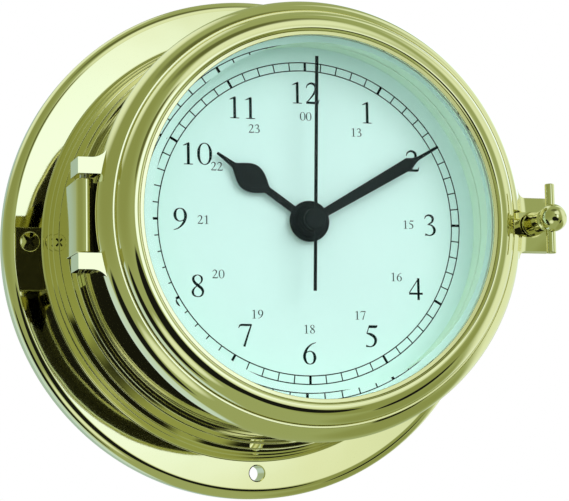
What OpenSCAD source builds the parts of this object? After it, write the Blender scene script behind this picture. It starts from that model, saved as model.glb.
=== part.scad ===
// Wall-mounted marine clock: a polished brass case with a wide flange, a hinged bezel closed by a
// thumb screw, a bevelled crystal, and a quartz movement that drives three hands through its wheels.
// Millimetres. +Z is up (12 o'clock), the dial faces -Y and the wall plane is Y = 0.
// Inside each module the axes are turned so that X is right, Y is up and Z is the depth from the wall.

/* [Flange] */
// Outer diameter of the wall flange
flange_d = 175; // [165:1:200]
// Thickness of the flange plate
flange_t = 8.6; // [7:0.1:11]
// Radius that rounds the flange's front edge
flange_edge_r = 4; // [1:0.5:6]
// Diameter of the raised collar round the drum's foot
collar_d = 148.4; // [146:0.2:150]
// Fillet in the corner between the flange's face and the collar
collar_fillet = 0.8; // [0.3:0.1:0.9]
// Depth of the collar's shoulder from the wall
collar_h = 16.3; // [15:0.1:20]
// Width of the shoulder that steps in from the collar
shoulder_w = 3.5; // [2.5:0.1:3.6]
// Height of the upper collar ring
upper_ring_h = 6; // [4:0.5:10]
// Height of the last step against the drum
foot_step_h = 3.2; // [2:0.1:6]
// Diameter of the circle through the four flange holes
hole_circle_d = 157.4; // [156:0.2:160]
// Diameter of the two open wall holes
wall_hole_d = 5.3; // [3.5:0.1:6]

/* [Drum] */
// Outer diameter of the drum
drum_d = 133.8; // [132.5:0.1:134.5]
// Wall of the drum
drum_wall = 3.4; // [2:0.1:5]
// Distance from the wall plane to the drum's front face
case_depth = 75; // [72:0.5:95]
// Bore that takes the dial plate and the dial ring
dial_seat_d = 120; // [119.6:0.1:122]
// Inner diameter of the ledge that carries the dial plate
dial_ledge_d = 110; // [100:1:114]
// Thickness of that ledge
dial_ledge_t = 4; // [2:0.5:8]
// Thickness of the seal between drum and bezel
seal_t = 2; // [1:0.1:2.6]

/* [Back cover] */
// Diameter of the back cover
back_cover_d = 139.6; // [136:0.2:141]
// Thickness of the back cover
back_cover_t = 2; // [1:0.1:3]
// How far the back cover lies inside the flange's back face
back_cover_inset = 0.6; // [0.3:0.1:1.5]
// Width of the back cover's two ears
cover_ear_w = 13; // [9:0.5:20]
// Shank diameter of the cover screws
cover_screw_d = 3.3; // [2.5:0.1:4]
// Head diameter of the cover screws
cover_head_d = 6.8; // [5.5:0.1:8]

/* [Bezel] */
// Outer diameter of the bezel's rim
bezel_d = 141.2; // [140.6:0.1:143]
// Diameter of the glass opening
glass_opening_d = 115; // [112:0.5:115.4]
// Height of the lip's underside over the bezel's back face
lip_h = 11.6; // [11.2:0.1:16]
// Width of the flat lip round the glass
lip_w = 1.3; // [0.8:0.1:1.5]
// Thickness of that lip
lip_t = 0.9; // [0.6:0.1:1.6]
// Radius of the bead round the lip
bead_r = 1.3; // [1:0.1:1.5]
// Radius of the rounded outer rim
rim_r = 7.2; // [6.8:0.1:7.4]
// Radius that rounds the rim's back edge
rim_back_r = 1.6; // [0.8:0.1:1.8]
// Thickness of the crystal at its edge
crystal_edge_t = 3.1; // [2:0.1:4]
// Height of the crystal's bevel
crystal_bevel_h = 1.5; // [0.5:0.1:1.6]
// Width of the crystal's bevel
crystal_bevel_w = 3.8; // [2:0.1:8]
// Thickness of the crystal's gasket
gasket_t = 0.45; // [0.3:0.05:0.8]
// Width of the hidden seat that the lip gives the crystal
crystal_seat_w = 2.9; // [2:0.1:3]
// Wall of the ring that retains the crystal
retainer_wall = 4.5; // [3.9:0.1:4.6]

/* [Hinge] */
// Distance of the hinge pin from the clock's axis
hinge_r = 72.8; // [72.4:0.1:76]
// How far the hinge pin lies behind the drum's front face
hinge_back = 2.5; // [2:0.1:3.2]
// Diameter of the hinge pin
hinge_pin_d = 3; // [2:0.1:3.4]
// Radius of the rounded front of the knuckle
knuckle_r = 2.7; // [2.3:0.1:2.9]
// Height of the knuckle
knuckle_h = 23.2; // [16:0.2:30]
// Depth of the knuckle behind the pin
knuckle_back = 16; // [9:0.5:24]
// How far the knuckle's foot on the drum stays behind the pin
foot_back = 6.5; // [5.5:0.1:8]
// Height of each bezel ear
ear_h = 5.1; // [3:0.1:8]
// Gap between the knuckle and each ear
ear_gap = 0.7; // [0.2:0.1:1.5]
// Half depth of an ear behind the pin
ear_half = 4.5; // [3:0.1:4.8]

/* [Latch] */
// Distance of the thumb screw from the clock's axis
latch_r = 75; // [74.6:0.1:80]
// Height of the bezel's latch lug
lug_h = 17.6; // [12:0.2:26]
// How far the lug reaches past the thumb screw
lug_reach = 7; // [5:0.1:10]
// How far the lug's front stands before the bezel's back face
lug_front = 2.5; // [1:0.1:4]
// Radius of the cove between the rim and the lug's front
cove_r = 5; // [3:0.1:6]
// How far the lug reaches behind the bezel's back face
lug_back = 3; // [2:0.1:3.1]
// Shank diameter of the thumb screw
thumb_shank_d = 5; // [3:0.1:5.4]
// Diameter of the thumb screw's body and of its collar
thumb_body_d = 7.7; // [7:0.1:9]
// Length of the collar under the body
collar_l = 3.65; // [2:0.05:6]
// Length of the body
thumb_body_l = 11.8; // [11:0.1:20]
// Diameter of the ball on the end
ball_d = 8.9; // [7.6:0.1:9.6]
// Diameter of the tommy bar
bar_d = 3.1; // [2:0.1:3.4]
// Length of the tommy bar
bar_l = 22.5; // [14:0.5:23]
// How deep the screw's tip enters the case lug
tip_depth = 4; // [2:0.1:6]
// Depth of the case lug
case_lug_l = 11; // [8:0.5:20]

/* [Dial and hands] */
// Thickness of the dial plate
dial_t = 1.5; // [1:0.1:2.5]
// How far the dial's face lies behind the drum's front face
dial_drop = 5.5; // [4:0.1:8]
// Wall of the dial ring
dial_ring_wall = 2.8; // [1.5:0.1:4]
// Thickness of the hands
hand_t = 0.6; // [0.4:0.05:0.8]
// Length of the hour hand
hour_l = 36.9; // [32:0.1:46]
// Width of the hour hand's teardrop
hour_bulb_w = 9; // [5:0.1:12]
// Length of the minute hand
minute_l = 50.4; // [44:0.1:54]
// Width of the minute hand at its shoulder
minute_w = 4.1; // [2.5:0.1:6]
// Length of the second hand
second_l = 52.5; // [30:0.5:54]
// Length of the second hand's tail
second_tail = 23; // [8:0.5:40]
// Width of the second hand
second_w = 0.95; // [0.6:0.05:2]

/* [Movement] */
// Side of the square movement
movement_w = 60; // [59:0.5:66]
// Depth of the movement's case
movement_t = 16.8; // [16.6:0.1:24]
// Wall of the movement's case
movement_wall = 1.2; // [0.8:0.1:1.4]
// Thickness of the movement's front and back plates
movement_plate = 1.6; // [1.2:0.1:1.8]
// Thickness of the wheels
wheel_t = 1; // [0.6:0.05:1.1]
// Tooth module of the rotor, intermediate and seconds wheels
fast_module = 0.3; // [0.29:0.01:0.31]
// Tooth module of the seconds pinion and the third wheel
slow_module = 0.4; // [0.39:0.01:0.41]
// Tooth module of the minute and hour wheels
motion_module = 0.4; // [0.39:0.01:0.41]
// Diameter of the battery
battery_d = 14.2; // [10:0.1:14.3]
// Length of the battery
battery_l = 50; // [40:0.5:52]
// Diameter of the setting knob
knob_d = 10; // [6:0.5:16]

/* [Fits] */
// Radial gap of pins and arbors that turn
run_gap = 0.05; // [0.02:0.01:0.09]
// Gap between fixed pieces that nest
seat_gap = 0.1; // [0.05:0.01:0.2]
// Gap between the drum's front and the bezel's back
bezel_gap = 0.5; // [0.45:0.05:0.8]
// Radial gap of the thumb screw's tip in the case lug
tip_gap = 0.5; // [0.4:0.05:1]

/* [Hidden] */
$fn = 96;

cut = 1;
drum_r = drum_d / 2;
lug_root = drum_wall + 0.6;
recess = back_cover_inset + back_cover_t;
hole_r = hole_circle_d / 2;
bezel_back = case_depth + bezel_gap;
bezel_r = bezel_d / 2;
opening_r = glass_opening_d / 2;

// The lip's underside, and the stack of gasket, crystal and retaining ring behind it
lip_z = bezel_back + lip_h;
bead_z = lip_z + lip_t - 0.4;
bezel_top = bead_z + bead_r;
groove_turn = 65;
crystal_front = lip_z - gasket_t;
crystal_back = crystal_front - crystal_edge_t;
crystal_r = opening_r + crystal_seat_w;

// The hinge pin and its ears
hinge_z = case_depth - hinge_back;
pin_r = hinge_pin_d / 2;
ear_in = knuckle_h / 2 + ear_gap;
ear_out = ear_in + ear_h;
ear_front = bezel_back + 1.7;
ear_reach = knuckle_r + 0.8;
web_r = 3;

// The thumb screw's stations along its axis
pocket_z = bezel_back - 0.5;
lug_back_z = bezel_back - lug_back;
case_lug_front = lug_back_z - 0.7;
collar_z = pocket_z + seat_gap;
body_z = collar_z + collar_l + run_gap;
neck_z = body_z + thumb_body_l;
shank_r = thumb_shank_d / 2;
body_r = thumb_body_d / 2;
ball_r = ball_d / 2;
neck_r = bar_d / 2 + 1.05;
ball_z = neck_z + sqrt(pow(ball_r, 2) - pow(neck_r, 2)) + 0.6;
bar_z = ball_z - 2.2;

// The dial, and the movement's face behind it
dial_z = case_depth - dial_drop;
face_z = dial_z - dial_t;
dial_r = dial_seat_d / 2 - seat_gap;

// The nested tubes at the centre
boss_r = 4;
hour_tube_r = 2.9;
cannon_r = 2;
arbor_r = 1;
pivot_r = 0.6;
post_r = 0.7;
washer_t = 0.25;
nut_t = 1.2;
boss_l = dial_t + washer_t + nut_t;

// Heights of the hands above the dial
hour_z = dial_z + washer_t + nut_t + 0.3;
minute_z = hour_z + hand_t + 1.5;
second_z = minute_z + hand_t + 3.8;

// Rest angles of the hands, clockwise from 12, for ten past ten
hour_turn = 305;
minute_turn = 60;
second_turn = 1.5;

// Teeth of the train, named driver then driven
rotor_teeth = 12;
inter_teeth = 60;
inter_pinion = 10;
seconds_teeth = 60;
seconds_pinion = 8;
third_teeth = 60;
third_pinion = 10;
centre_teeth = 80;
cannon_pinion = 15;
minute_teeth = 45;
minute_pinion = 12;
hour_teeth = 48;
setting_pinion = 15;

// Where the wheels' arbors stand round the centre
third_at = slow_module * (seconds_pinion + third_teeth) / 2;
centre_module = third_at * 2 / (third_pinion + centre_teeth);
inter_at = fast_module * (inter_pinion + seconds_teeth) / 2;
minute_at = motion_module * (cannon_pinion + minute_teeth) / 2;
third_dir = 180;
minute_dir = 80;
inter_dir = 0;
rotor_dir = 50;
setting_dir = 150;
third_pos = third_at * [cos(third_dir), sin(third_dir)];
minute_pos = minute_at * [cos(minute_dir), sin(minute_dir)];
inter_pos = inter_at * [cos(inter_dir), sin(inter_dir)];
rotor_pos = inter_pos + fast_module * (rotor_teeth + inter_teeth) / 2 * [cos(rotor_dir), sin(rotor_dir)];
setting_pos = minute_pos
    + motion_module * (minute_teeth + setting_pinion) / 2 * [cos(setting_dir), sin(setting_dir)];

// Depths of the wheels behind the movement's face
hour_d = 2.5;
minute_d = 4.4;
centre_d = 6.6;
third_d = 9.4;
seconds_d = 11.5;
inter_d = 13.2;
stator_d = 9.8;
stator_t = 1.2;
coil_r = 4;
cover_d = movement_t;
pinion_over = 0.4;

// The stator's loop round the rotor and through the coil
stator_x0 = 4;
stator_x1 = 25.5;
stator_y0 = 3.2;
stator_y1 = 23.5;
core_w = 3;

// The board in the upper left corner
board_x0 = -27;
board_y0 = 16;
board_w = 15;
board_h = 10.5;
board_d = 8;
board_t = 1;
can_r = 1.5;

battery_r = battery_d / 2;
battery_y = -(movement_w / 2 - movement_wall - battery_r - 0.3);
battery_d0 = movement_plate + 0.3 + battery_r;

brass = [0.80, 0.71, 0.42];
paint_black = [0.08, 0.10, 0.10];
dial_white = [0.84, 0.95, 0.93];

// Points along an arc about c, from angle a0 to a1
function arc(c, r, a0, a1, n = 10) =
    [for (i = [0:n]) c + r * [cos(a0 + (a1 - a0) * i / n), sin(a0 + (a1 - a0) * i / n)]];

// Turn of a wheel whose gap faces the driver's tooth along the line of centres
function in_mesh(teeth_a, turn_a, teeth_b, dir) =
    dir + 180 - (0.5 - (dir - turn_a) * teeth_a / 360) * 360 / teeth_b;

// Half width of the hour hand at s, from its stem through the teardrop to the tip
function hour_half(s) =
    let (stem = 1.15, tip = 0.35, foot = 0.46, peak = 0.64, end = 0.82)
    s < foot ? stem
    : s < peak ? stem + (hour_bulb_w / 2 - stem) * sin(90 * (s - foot) / (peak - foot))
    : s < end ? 0.9 + (hour_bulb_w / 2 - 0.9) * pow(cos(90 * (s - peak) / (end - peak)), 1.1)
    : 0.9 + (tip - 0.9) * (s - end) / (1 - end);

// Half width of the minute hand at s, widening to its shoulder and then drawn to a thin rod
function minute_half(s) =
    let (foot = 1.3, rod = 0.62, tip = 0.4, shoulder = 0.77, end = 0.85)
    s < shoulder ? foot + (minute_w / 2 - foot) * s / shoulder
    : s < end ? rod + (minute_w / 2 - rod) * pow(1 - (s - shoulder) / (end - shoulder), 1.8)
    : rod + (tip - rod) * (s - end) / (1 - end);

// Turns the clock's face from +Z to -Y
module faced() { rotate([90, 0, 0]) children(); }

// Extrudes an (x, depth) outline along the clock's height
module upright(y0, y1) { translate([0, y1, 0]) rotate([90, 0, 0]) linear_extrude(y1 - y0) children(); }

// A ring of rectangular section
module hoop(r0, r1, z0, z1) {
    translate([0, 0, z0]) linear_extrude(z1 - z0) difference() {
        circle(r1);
        circle(r0);
    }
}

// A rod along the depth
module rod(at, r, z0, z1) { translate([at[0], at[1], z0]) cylinder(r = r, h = z1 - z0); }

// A toothed disc with its front at depth d behind the movement's face
module teeth(count, module_size, turn, d, t) {
    tip = module_size * (count / 2 + 0.85);
    root = module_size * (count / 2 - 1.2);
    pitch = 360 / count;
    outline = [for (k = [0:count - 1], p = [[root, -0.25], [tip, -0.12], [tip, 0.12], [root, 0.25]])
        p[0] * [cos(turn + pitch * (k + p[1])), sin(turn + pitch * (k + p[1]))]];
    translate([0, 0, face_z - d - t]) linear_extrude(t) polygon(outline);
}

// A pinion that overlaps its wheel's plane on both sides
module pinion(count, module_size, turn, d) {
    teeth(count, module_size, turn, d - pinion_over, wheel_t + 2 * pinion_over);
}

// A block of the web that blends a straight side at height y into the rim, with a hollow fillet whose
// foot runs out just under the rim's surface
module rim_fillet(y, sign_x) {
    sunk_r = bezel_r - 0.1;
    side = [sqrt(pow(sunk_r + web_r, 2) - pow(y + web_r, 2)), y];
    foot = (side + [0, web_r]) * sunk_r / (sunk_r + web_r);
    scale([sign_x, 1]) difference() {
        polygon([side - [0, cut], side, 2 * foot - side, [foot[0] - 2, y - cut]]);
        translate(side + [0, web_r]) circle(web_r);
    }
}

// The outline of the flange and its stepped collar
module flange_section() {
    fr = flange_d / 2;
    cr = collar_d / 2;
    upper_r = cr - shoulder_w;
    foot_r = (upper_r + drum_r) / 2;
    shoulder_z = collar_h + shoulder_w;
    polygon(concat(
        [[drum_r + seat_gap / 2, recess], [back_cover_d / 2 + seat_gap, recess],
         [back_cover_d / 2 + seat_gap, 0], [fr - 0.8, 0], [fr, 0.8]],
        arc([fr - flange_edge_r, flange_t - flange_edge_r], flange_edge_r, 0, 90),
        arc([cr + collar_fillet, flange_t + collar_fillet], collar_fillet, 270, 180, 4),
        arc([cr - shoulder_w, collar_h], shoulder_w, 0, 80),
        [[upper_r, shoulder_z], [upper_r, shoulder_z + upper_ring_h - 0.8],
         [upper_r - 0.8, shoulder_z + upper_ring_h], [foot_r, shoulder_z + upper_ring_h],
         [foot_r, shoulder_z + upper_ring_h + foot_step_h - 0.8],
         [foot_r - 0.8, shoulder_z + upper_ring_h + foot_step_h],
         [drum_r + seat_gap / 2, shoulder_z + upper_ring_h + foot_step_h]]));
}

module mounting_flange() {
    color(brass) faced() difference() {
        rotate_extrude() flange_section();
        for (side = [-1, 1]) {
            translate([0, side * hole_r, -cut]) cylinder(d = wall_hole_d, h = flange_t + 2 * cut);
            cover_screw_hole(side);
            translate([side > 0 ? 0 : -hole_r - cover_ear_w / 2 - seat_gap,
                       -cover_ear_w / 2 - seat_gap, -cut])
                cube([hole_r + cover_ear_w / 2 + seat_gap, cover_ear_w + 2 * seat_gap, recess + cut]);
        }
    }
}

// The countersunk hole for one cover screw
module cover_screw_hole(side) {
    head = (cover_head_d - cover_screw_d) / 2;
    rod([side * hole_r, 0], cover_screw_d / 2 + seat_gap, -cut, flange_t + cut);
    translate([side * hole_r, 0, flange_t - head]) cylinder(
        r1 = cover_screw_d / 2 + seat_gap, r2 = cover_head_d / 2 + seat_gap, h = head + 0.001);
}

module case_drum() {
    inner = drum_r - drum_wall;
    ledge_z = face_z - dial_ledge_t;
    groove = seal_t * 1.1;
    seal_mid = (drum_r + dial_seat_d / 2) / 2;
    color(brass) faced() rotate_extrude() polygon([
        [inner, recess], [drum_r, recess], [drum_r, case_depth],
        [seal_mid + groove / 2, case_depth], [seal_mid + groove / 2, case_depth - seal_t * 0.8],
        [seal_mid - groove / 2, case_depth - seal_t * 0.8], [seal_mid - groove / 2, case_depth],
        [dial_seat_d / 2, case_depth], [dial_seat_d / 2, face_z], [dial_ledge_d / 2, face_z],
        [dial_ledge_d / 2, ledge_z], [inner, ledge_z - (inner - dial_ledge_d / 2) / 2]]);
}

module bezel_seal() {
    seal_mid = (drum_r + dial_seat_d / 2) / 2;
    color("black") faced() rotate_extrude()
        translate([seal_mid, case_depth + 0.2 * seal_t - seal_t / 2]) circle(d = seal_t, $fn = 32);
}

module hinge_knuckle() {
    x = -hinge_r;
    color(brass) faced() difference() {
        upright(-knuckle_h / 2, knuckle_h / 2) {
            translate([x, hinge_z]) circle(knuckle_r);
            translate([x - knuckle_r, hinge_z - knuckle_back]) square([2 * knuckle_r, knuckle_back]);
            translate([x - knuckle_r, hinge_z - knuckle_back])
                square([hinge_r + knuckle_r - drum_r + lug_root, knuckle_back - foot_back]);
        }
        translate([0, 0, -cut]) cylinder(r = drum_r + seat_gap / 2, h = case_depth + 2 * cut);
        upright(-knuckle_h, knuckle_h) translate([x, hinge_z]) circle(pin_r + seat_gap / 2);
    }
}

module hinge_pin() {
    color("silver") faced() upright(-ear_out, ear_out) translate([-hinge_r, hinge_z]) circle(pin_r);
}

module latch_lug() {
    half = lug_h / 2 - 2.5;
    color(brass) faced() difference() {
        translate([drum_r - lug_root, -half, case_lug_front - case_lug_l])
            cube([latch_r + lug_reach - 1.5 - drum_r + lug_root, 2 * half, case_lug_l]);
        translate([0, 0, -cut]) cylinder(r = drum_r + seat_gap / 2, h = case_depth + 2 * cut);
        rod([latch_r, 0], shank_r + tip_gap, case_lug_front - tip_depth - 1.5, case_lug_front + cut);
    }
}

module back_cover() {
    color(brass) faced() difference() {
        union() {
            rod([0, 0], back_cover_d / 2, back_cover_inset, recess);
            translate([-hole_r - cover_ear_w / 2, -cover_ear_w / 2, back_cover_inset])
                cube([2 * hole_r + cover_ear_w, cover_ear_w, back_cover_t]);
        }
        for (side = [-1, 1])
            rod([side * hole_r, 0], cover_screw_d / 2 + seat_gap / 2, -cut, recess + cut);
    }
}

module back_cover_screws() {
    head = (cover_head_d - cover_screw_d) / 2;
    slot = cover_head_d * 0.16;
    color(brass) faced() for (side = [-1, 1]) difference() {
        union() {
            rod([side * hole_r, 0], cover_screw_d / 2, back_cover_inset + 0.1, flange_t - head);
            translate([side * hole_r, 0, flange_t - head])
                cylinder(r1 = cover_screw_d / 2, r2 = cover_head_d / 2, h = head);
            rod([side * hole_r, 0], cover_head_d / 2, flange_t, flange_t + 0.3);
        }
        for (turn = [45, 135]) translate([side * hole_r, 0, flange_t]) rotate(turn)
            cube([cover_head_d * 0.6, slot, head], center = true);
    }
}

module dial_plate() {
    color(dial_white) faced() hoop(boss_r + seat_gap, dial_r, face_z, dial_z);
}

module dial_ring() {
    color(dial_white) faced() hoop(dial_r - dial_ring_wall, dial_r, dial_z, case_depth - seat_gap);
}

module centre_washer() {
    color("gold") faced() hoop(boss_r + seat_gap, boss_r + 2, dial_z, dial_z + washer_t);
}

module centre_nut() {
    color("gold") faced() difference() {
        rod([0, 0], boss_r + 1.2, dial_z + washer_t, dial_z + washer_t + nut_t, $fn = 6);
        rod([0, 0], boss_r + seat_gap / 2, dial_z, dial_z + washer_t + nut_t + cut);
    }
}

module movement_case() {
    half = movement_w / 2;
    inner = half - movement_wall;
    stator_post = [stator_x1 - core_w / 2, stator_y0 + core_w / 2];
    color([0.15, 0.15, 0.16]) faced() difference() {
        union() {
            difference() {
                translate([-half, -half, face_z - movement_t]) cube([movement_w, movement_w, movement_t]);
                translate([-inner, -inner, face_z - movement_t - cut])
                    cube([2 * inner, 2 * inner, movement_t - movement_plate + cut]);
            }
            rod([0, 0], boss_r, face_z - movement_plate, face_z + boss_l);
            rod(third_pos, post_r, face_z - third_d - wheel_t - pinion_over, face_z - cut);
            rod(minute_pos, post_r, face_z - minute_d - wheel_t - pinion_over, face_z - cut);
            rod(rotor_pos, pivot_r + 0.9, face_z - stator_d + 1.4, face_z - cut);
            rod(setting_pos, arbor_r + 1.2, face_z - movement_plate - 1.2, face_z - cut);
            for (p = [stator_post, [stator_post[0], stator_y1 - core_w / 2]])
                rod(p, 1, face_z - stator_d, face_z - cut);
            for (x = [board_x0 + 2, board_x0 + board_w - 2])
                rod([x, board_y0 + board_h / 2], 1, face_z - board_d, face_z - cut);
        }
        rod([0, 0], hour_tube_r + run_gap, face_z - movement_plate - cut, face_z + boss_l + cut);
        rod(rotor_pos, pivot_r + run_gap, face_z - stator_d, face_z - stator_d + 3.4);
        rod(setting_pos, arbor_r + run_gap, face_z - movement_plate - 2, face_z - 1);
    }
}

module movement_cover() {
    half = movement_w / 2;
    back = face_z - cover_d;
    foot = battery_y + battery_r + 1;
    color([0.22, 0.22, 0.23]) faced() difference() {
        union() {
            translate([-half, foot, back - movement_plate])
                cube([movement_w, half - foot, movement_plate]);
            rod([0, 0], pivot_r + 0.6, back - cut, face_z - inter_d - wheel_t - 0.4);
            rod(inter_pos, post_r, back - cut, face_z - seconds_d + pinion_over);
            rod(rotor_pos, pivot_r + 0.9, back - cut, face_z - inter_d - wheel_t - pinion_over - 0.5);
        }
        for (p = [[0, 0], rotor_pos])
            rod(p, pivot_r + run_gap, back - movement_plate / 2, face_z);
        rod(setting_pos, arbor_r + run_gap, back - movement_plate - cut, back + cut);
    }
}

module stator() {
    color("gray") faced() translate([0, 0, face_z - stator_d - stator_t]) linear_extrude(stator_t)
        difference() {
            translate([stator_x0, stator_y0]) square([stator_x1 - stator_x0, stator_y1 - stator_y0]);
            translate([stator_x0 + core_w, rotor_pos[1] + 5])
                square([stator_x1 - stator_x0 - 2 * core_w, stator_y1 - core_w - rotor_pos[1] - 5]);
            translate(rotor_pos) circle(3.5);
        }
}

module coil() {
    y = stator_y1 - core_w / 2;
    z = face_z - stator_d - stator_t / 2;
    l = stator_x1 - stator_x0 - 2 * core_w - 1;
    color("chocolate") faced() difference() {
        translate([stator_x0 + core_w + 0.5, y, z]) rotate([0, 90, 0]) union() {
            cylinder(r = coil_r - 0.6, h = l);
            cylinder(r = coil_r, h = 0.8);
            translate([0, 0, l - 0.8]) cylinder(r = coil_r, h = 0.8);
        }
        translate([stator_x0, y - core_w / 2 - seat_gap, z - stator_t / 2 - seat_gap])
            cube([stator_x1 - stator_x0, core_w + 2 * seat_gap, stator_t + 2 * seat_gap]);
    }
}

module circuit_board() {
    color("darkgreen") faced() translate([board_x0, board_y0, face_z - board_d - board_t])
        cube([board_w, board_h, board_t]);
}

module quartz_can() {
    color("silver") faced() translate([board_x0 + 4, board_y0 + 3, face_z - board_d - board_t - can_r])
        rotate([0, 90, 0]) cylinder(r = can_r, h = 6);
}

module battery() {
    color("dimgray") faced() translate([-battery_l / 2, battery_y, face_z - battery_d0]) rotate([0, 90, 0])
        rotate_extrude() polygon([[0, 0], [battery_r, 0], [battery_r, battery_l - 1.5],
                                  [2.7, battery_l - 1.5], [2.7, battery_l], [0, battery_l]]);
}

module battery_contacts() {
    leaf = 0.5;
    color("silver") faced() for (side = [-1, 1])
        translate([side * (battery_l / 2 + leaf / 2 + seat_gap), battery_y, face_z - battery_d0]) {
            cube([leaf, battery_r * 1.2, battery_r * 1.2], center = true);
            translate([side * (movement_w / 2 - movement_wall - battery_l / 2 - leaf - seat_gap) / 2, 0, 0])
                cube([movement_w / 2 - movement_wall - battery_l / 2 - leaf - seat_gap, battery_r * 0.6, 2],
                     center = true);
        }
}

// Points of a smooth sweep from p0 along t0 to p1 along t1
function swept(p0, t0, p1, t1, n = 12) =
    let (span = norm(p1 - p0), a = p0 + 0.55 * span * t0, b = p1 - 0.26 * span * t1)
    [for (i = [0:n]) let (t = i / n)
        pow(1 - t, 3) * p0 + 3 * t * pow(1 - t, 2) * a + 3 * t * t * (1 - t) * b + pow(t, 3) * p1];

// The lathe outline of the bezel: lip, bead, hollow, fine groove, round rim and stepped inside
module bezel_section() {
    bead_x = opening_r + lip_w + bead_r - 0.2;
    bead_end = 28;
    hollow_end = 8;
    rim_z = bezel_back + rim_back_r;
    groove = [bezel_r - rim_r, rim_z] + rim_r * [cos(groove_turn), sin(groove_turn)];
    polygon(concat(
        [[crystal_r + seat_gap, lip_z], [opening_r, lip_z], [opening_r, lip_z + lip_t - 0.2],
         [opening_r + 0.2, lip_z + lip_t]],
        arc([bead_x, bead_z], bead_r, 180 - asin(0.4 / bead_r), bead_end + 10),
        swept([bead_x, bead_z] + bead_r * [cos(bead_end), sin(bead_end)], [sin(bead_end), -cos(bead_end)],
              groove + [-0.75, 0.1], [cos(hollow_end), -sin(hollow_end)]),
        [groove + [-0.65, -0.3], groove + [-0.1, -0.3]],
        arc([bezel_r - rim_r, rim_z], rim_r, groove_turn, 0),
        arc([bezel_r - rim_back_r, rim_z], rim_back_r, -18, -90, 5),
        [[retainer_r() + seat_gap, bezel_back], [retainer_r() + seat_gap, crystal_back],
         [crystal_r + seat_gap, crystal_back]]));
}

function retainer_r() = opening_r - 0.5 + retainer_wall;

module bezel_ring() {
    lug_z = bezel_back + lug_front;
    slot_x = bezel_r - rim_r + rim_r * cos(groove_turn) - 0.1;
    color(brass) faced() difference() {
        union() {
            rotate_extrude() bezel_section();
            for (side = [-1, 1]) hinge_ear(side);
            translate([0, 0, bezel_back]) linear_extrude(lug_front) lug_plan();
            translate([bezel_r - 1.5, -lug_h / 2, lug_back_z])
                cube([latch_r + lug_reach - bezel_r + 1.5, lug_h, lug_back]);
            lug_cove(lug_z);
        }
        rod([latch_r, 0], shank_r + run_gap, lug_back_z - cut, bezel_back + cut);
        rod([latch_r, 0], body_r + 0.4, pocket_z, bezel_top);
        translate([slot_x, -body_r - 0.2, lug_z])
            cube([latch_r - slot_x, thumb_body_d + 0.4, bezel_top - lug_z]);
        upright(-ear_out - cut, ear_out + cut) translate([-hinge_r, hinge_z]) circle(pin_r + run_gap);
    }
}

// The plan of the latch lug, webbed to the rim
module lug_plan() {
    translate([bezel_r - 3, -lug_h / 2]) square([latch_r + lug_reach - bezel_r + 3, lug_h]);
    rim_fillet(lug_h / 2, 1);
    mirror([0, 1]) rim_fillet(lug_h / 2, 1);
}

// The cove that blends the rim's side into the lug's front, its edges sunk a little under both
module lug_cove(lug_z) {
    sunk = 0.05;
    rim_at = [bezel_r - rim_r, bezel_back + rim_back_r];
    reach = rim_r - sunk + cove_r;
    rise = lug_z - sunk + cove_r - rim_at[1];
    at = rim_at + [sqrt(pow(reach, 2) - pow(rise, 2)), rise];
    top = rim_at + (rim_r - sunk) / reach * (at - rim_at);
    intersection() {
        rotate_extrude() polygon(concat(
            arc(at, cove_r, 180 + asin(rise / reach), 270, 6),
            [[at[0], lug_z - cut], [top[0] - cut, lug_z - cut], [top[0] - cut, top[1] - cut]]));
        translate([0, 0, lug_z - cut / 2]) linear_extrude(top[1] - lug_z + cut) lug_plan();
    }
}

// One hinge ear: an upright block round the pin, webbed to the rim
module hinge_ear(side) {
    y0 = side > 0 ? ear_in : -ear_out;
    upright(y0, y0 + ear_h) {
        translate([-hinge_r - ear_reach, hinge_z - ear_half])
            square([2 * ear_reach - 0.2, ear_half + ear_front - hinge_z]);
        translate([-hinge_r - ear_reach, bezel_back]) square([ear_reach + 6, ear_front - bezel_back]);
    }
    translate([0, 0, bezel_back]) linear_extrude(ear_front - bezel_back) scale([1, side])
        rim_fillet(ear_out, -1);
}

module crystal() {
    flat_r = opening_r - crystal_bevel_w;
    color([0.8, 0.95, 0.95, 0.3]) faced() rotate_extrude() polygon([
        [0, crystal_back], [crystal_r, crystal_back], [crystal_r, crystal_front],
        [opening_r + 0.2, crystal_front], [flat_r, crystal_front + crystal_bevel_h],
        [0, crystal_front + crystal_bevel_h]]);
}

module crystal_gasket() {
    color("black") faced() hoop(opening_r + 0.7, crystal_r, crystal_front, lip_z);
}

module crystal_retaining_ring() {
    color(dial_white) faced() hoop(opening_r - 0.5, retainer_r(), bezel_back + 0.4, crystal_back);
}

module latch_collar() {
    color(brass) faced() translate([latch_r, 0, 0])
        hoop(shank_r + run_gap, body_r, collar_z, collar_z + collar_l);
}

module thumb_screw() {
    waist = body_r - 0.5;
    tip_z = case_lug_front - tip_depth;
    ball_foot = asin(neck_r / ball_r) - 90;
    color(brass) faced() translate([latch_r, 0, 0]) difference() {
        rotate_extrude() polygon(concat(
            [[0, tip_z], [shank_r - 0.6, tip_z], [shank_r, tip_z + 0.6], [shank_r, body_z], [body_r, body_z],
             [body_r, body_z + 0.8], [waist, (body_z + neck_z) / 2], [body_r - 0.2, neck_z - 1],
             [neck_r + 0.4, neck_z], [neck_r, neck_z + 0.2]],
            arc([0, ball_z], ball_r, ball_foot, 90, 14)));
        translate([0, 0, bar_z]) rotate([90, 0, 0])
            cylinder(d = bar_d + seat_gap, h = 2 * ball_d, center = true);
    }
}

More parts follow.
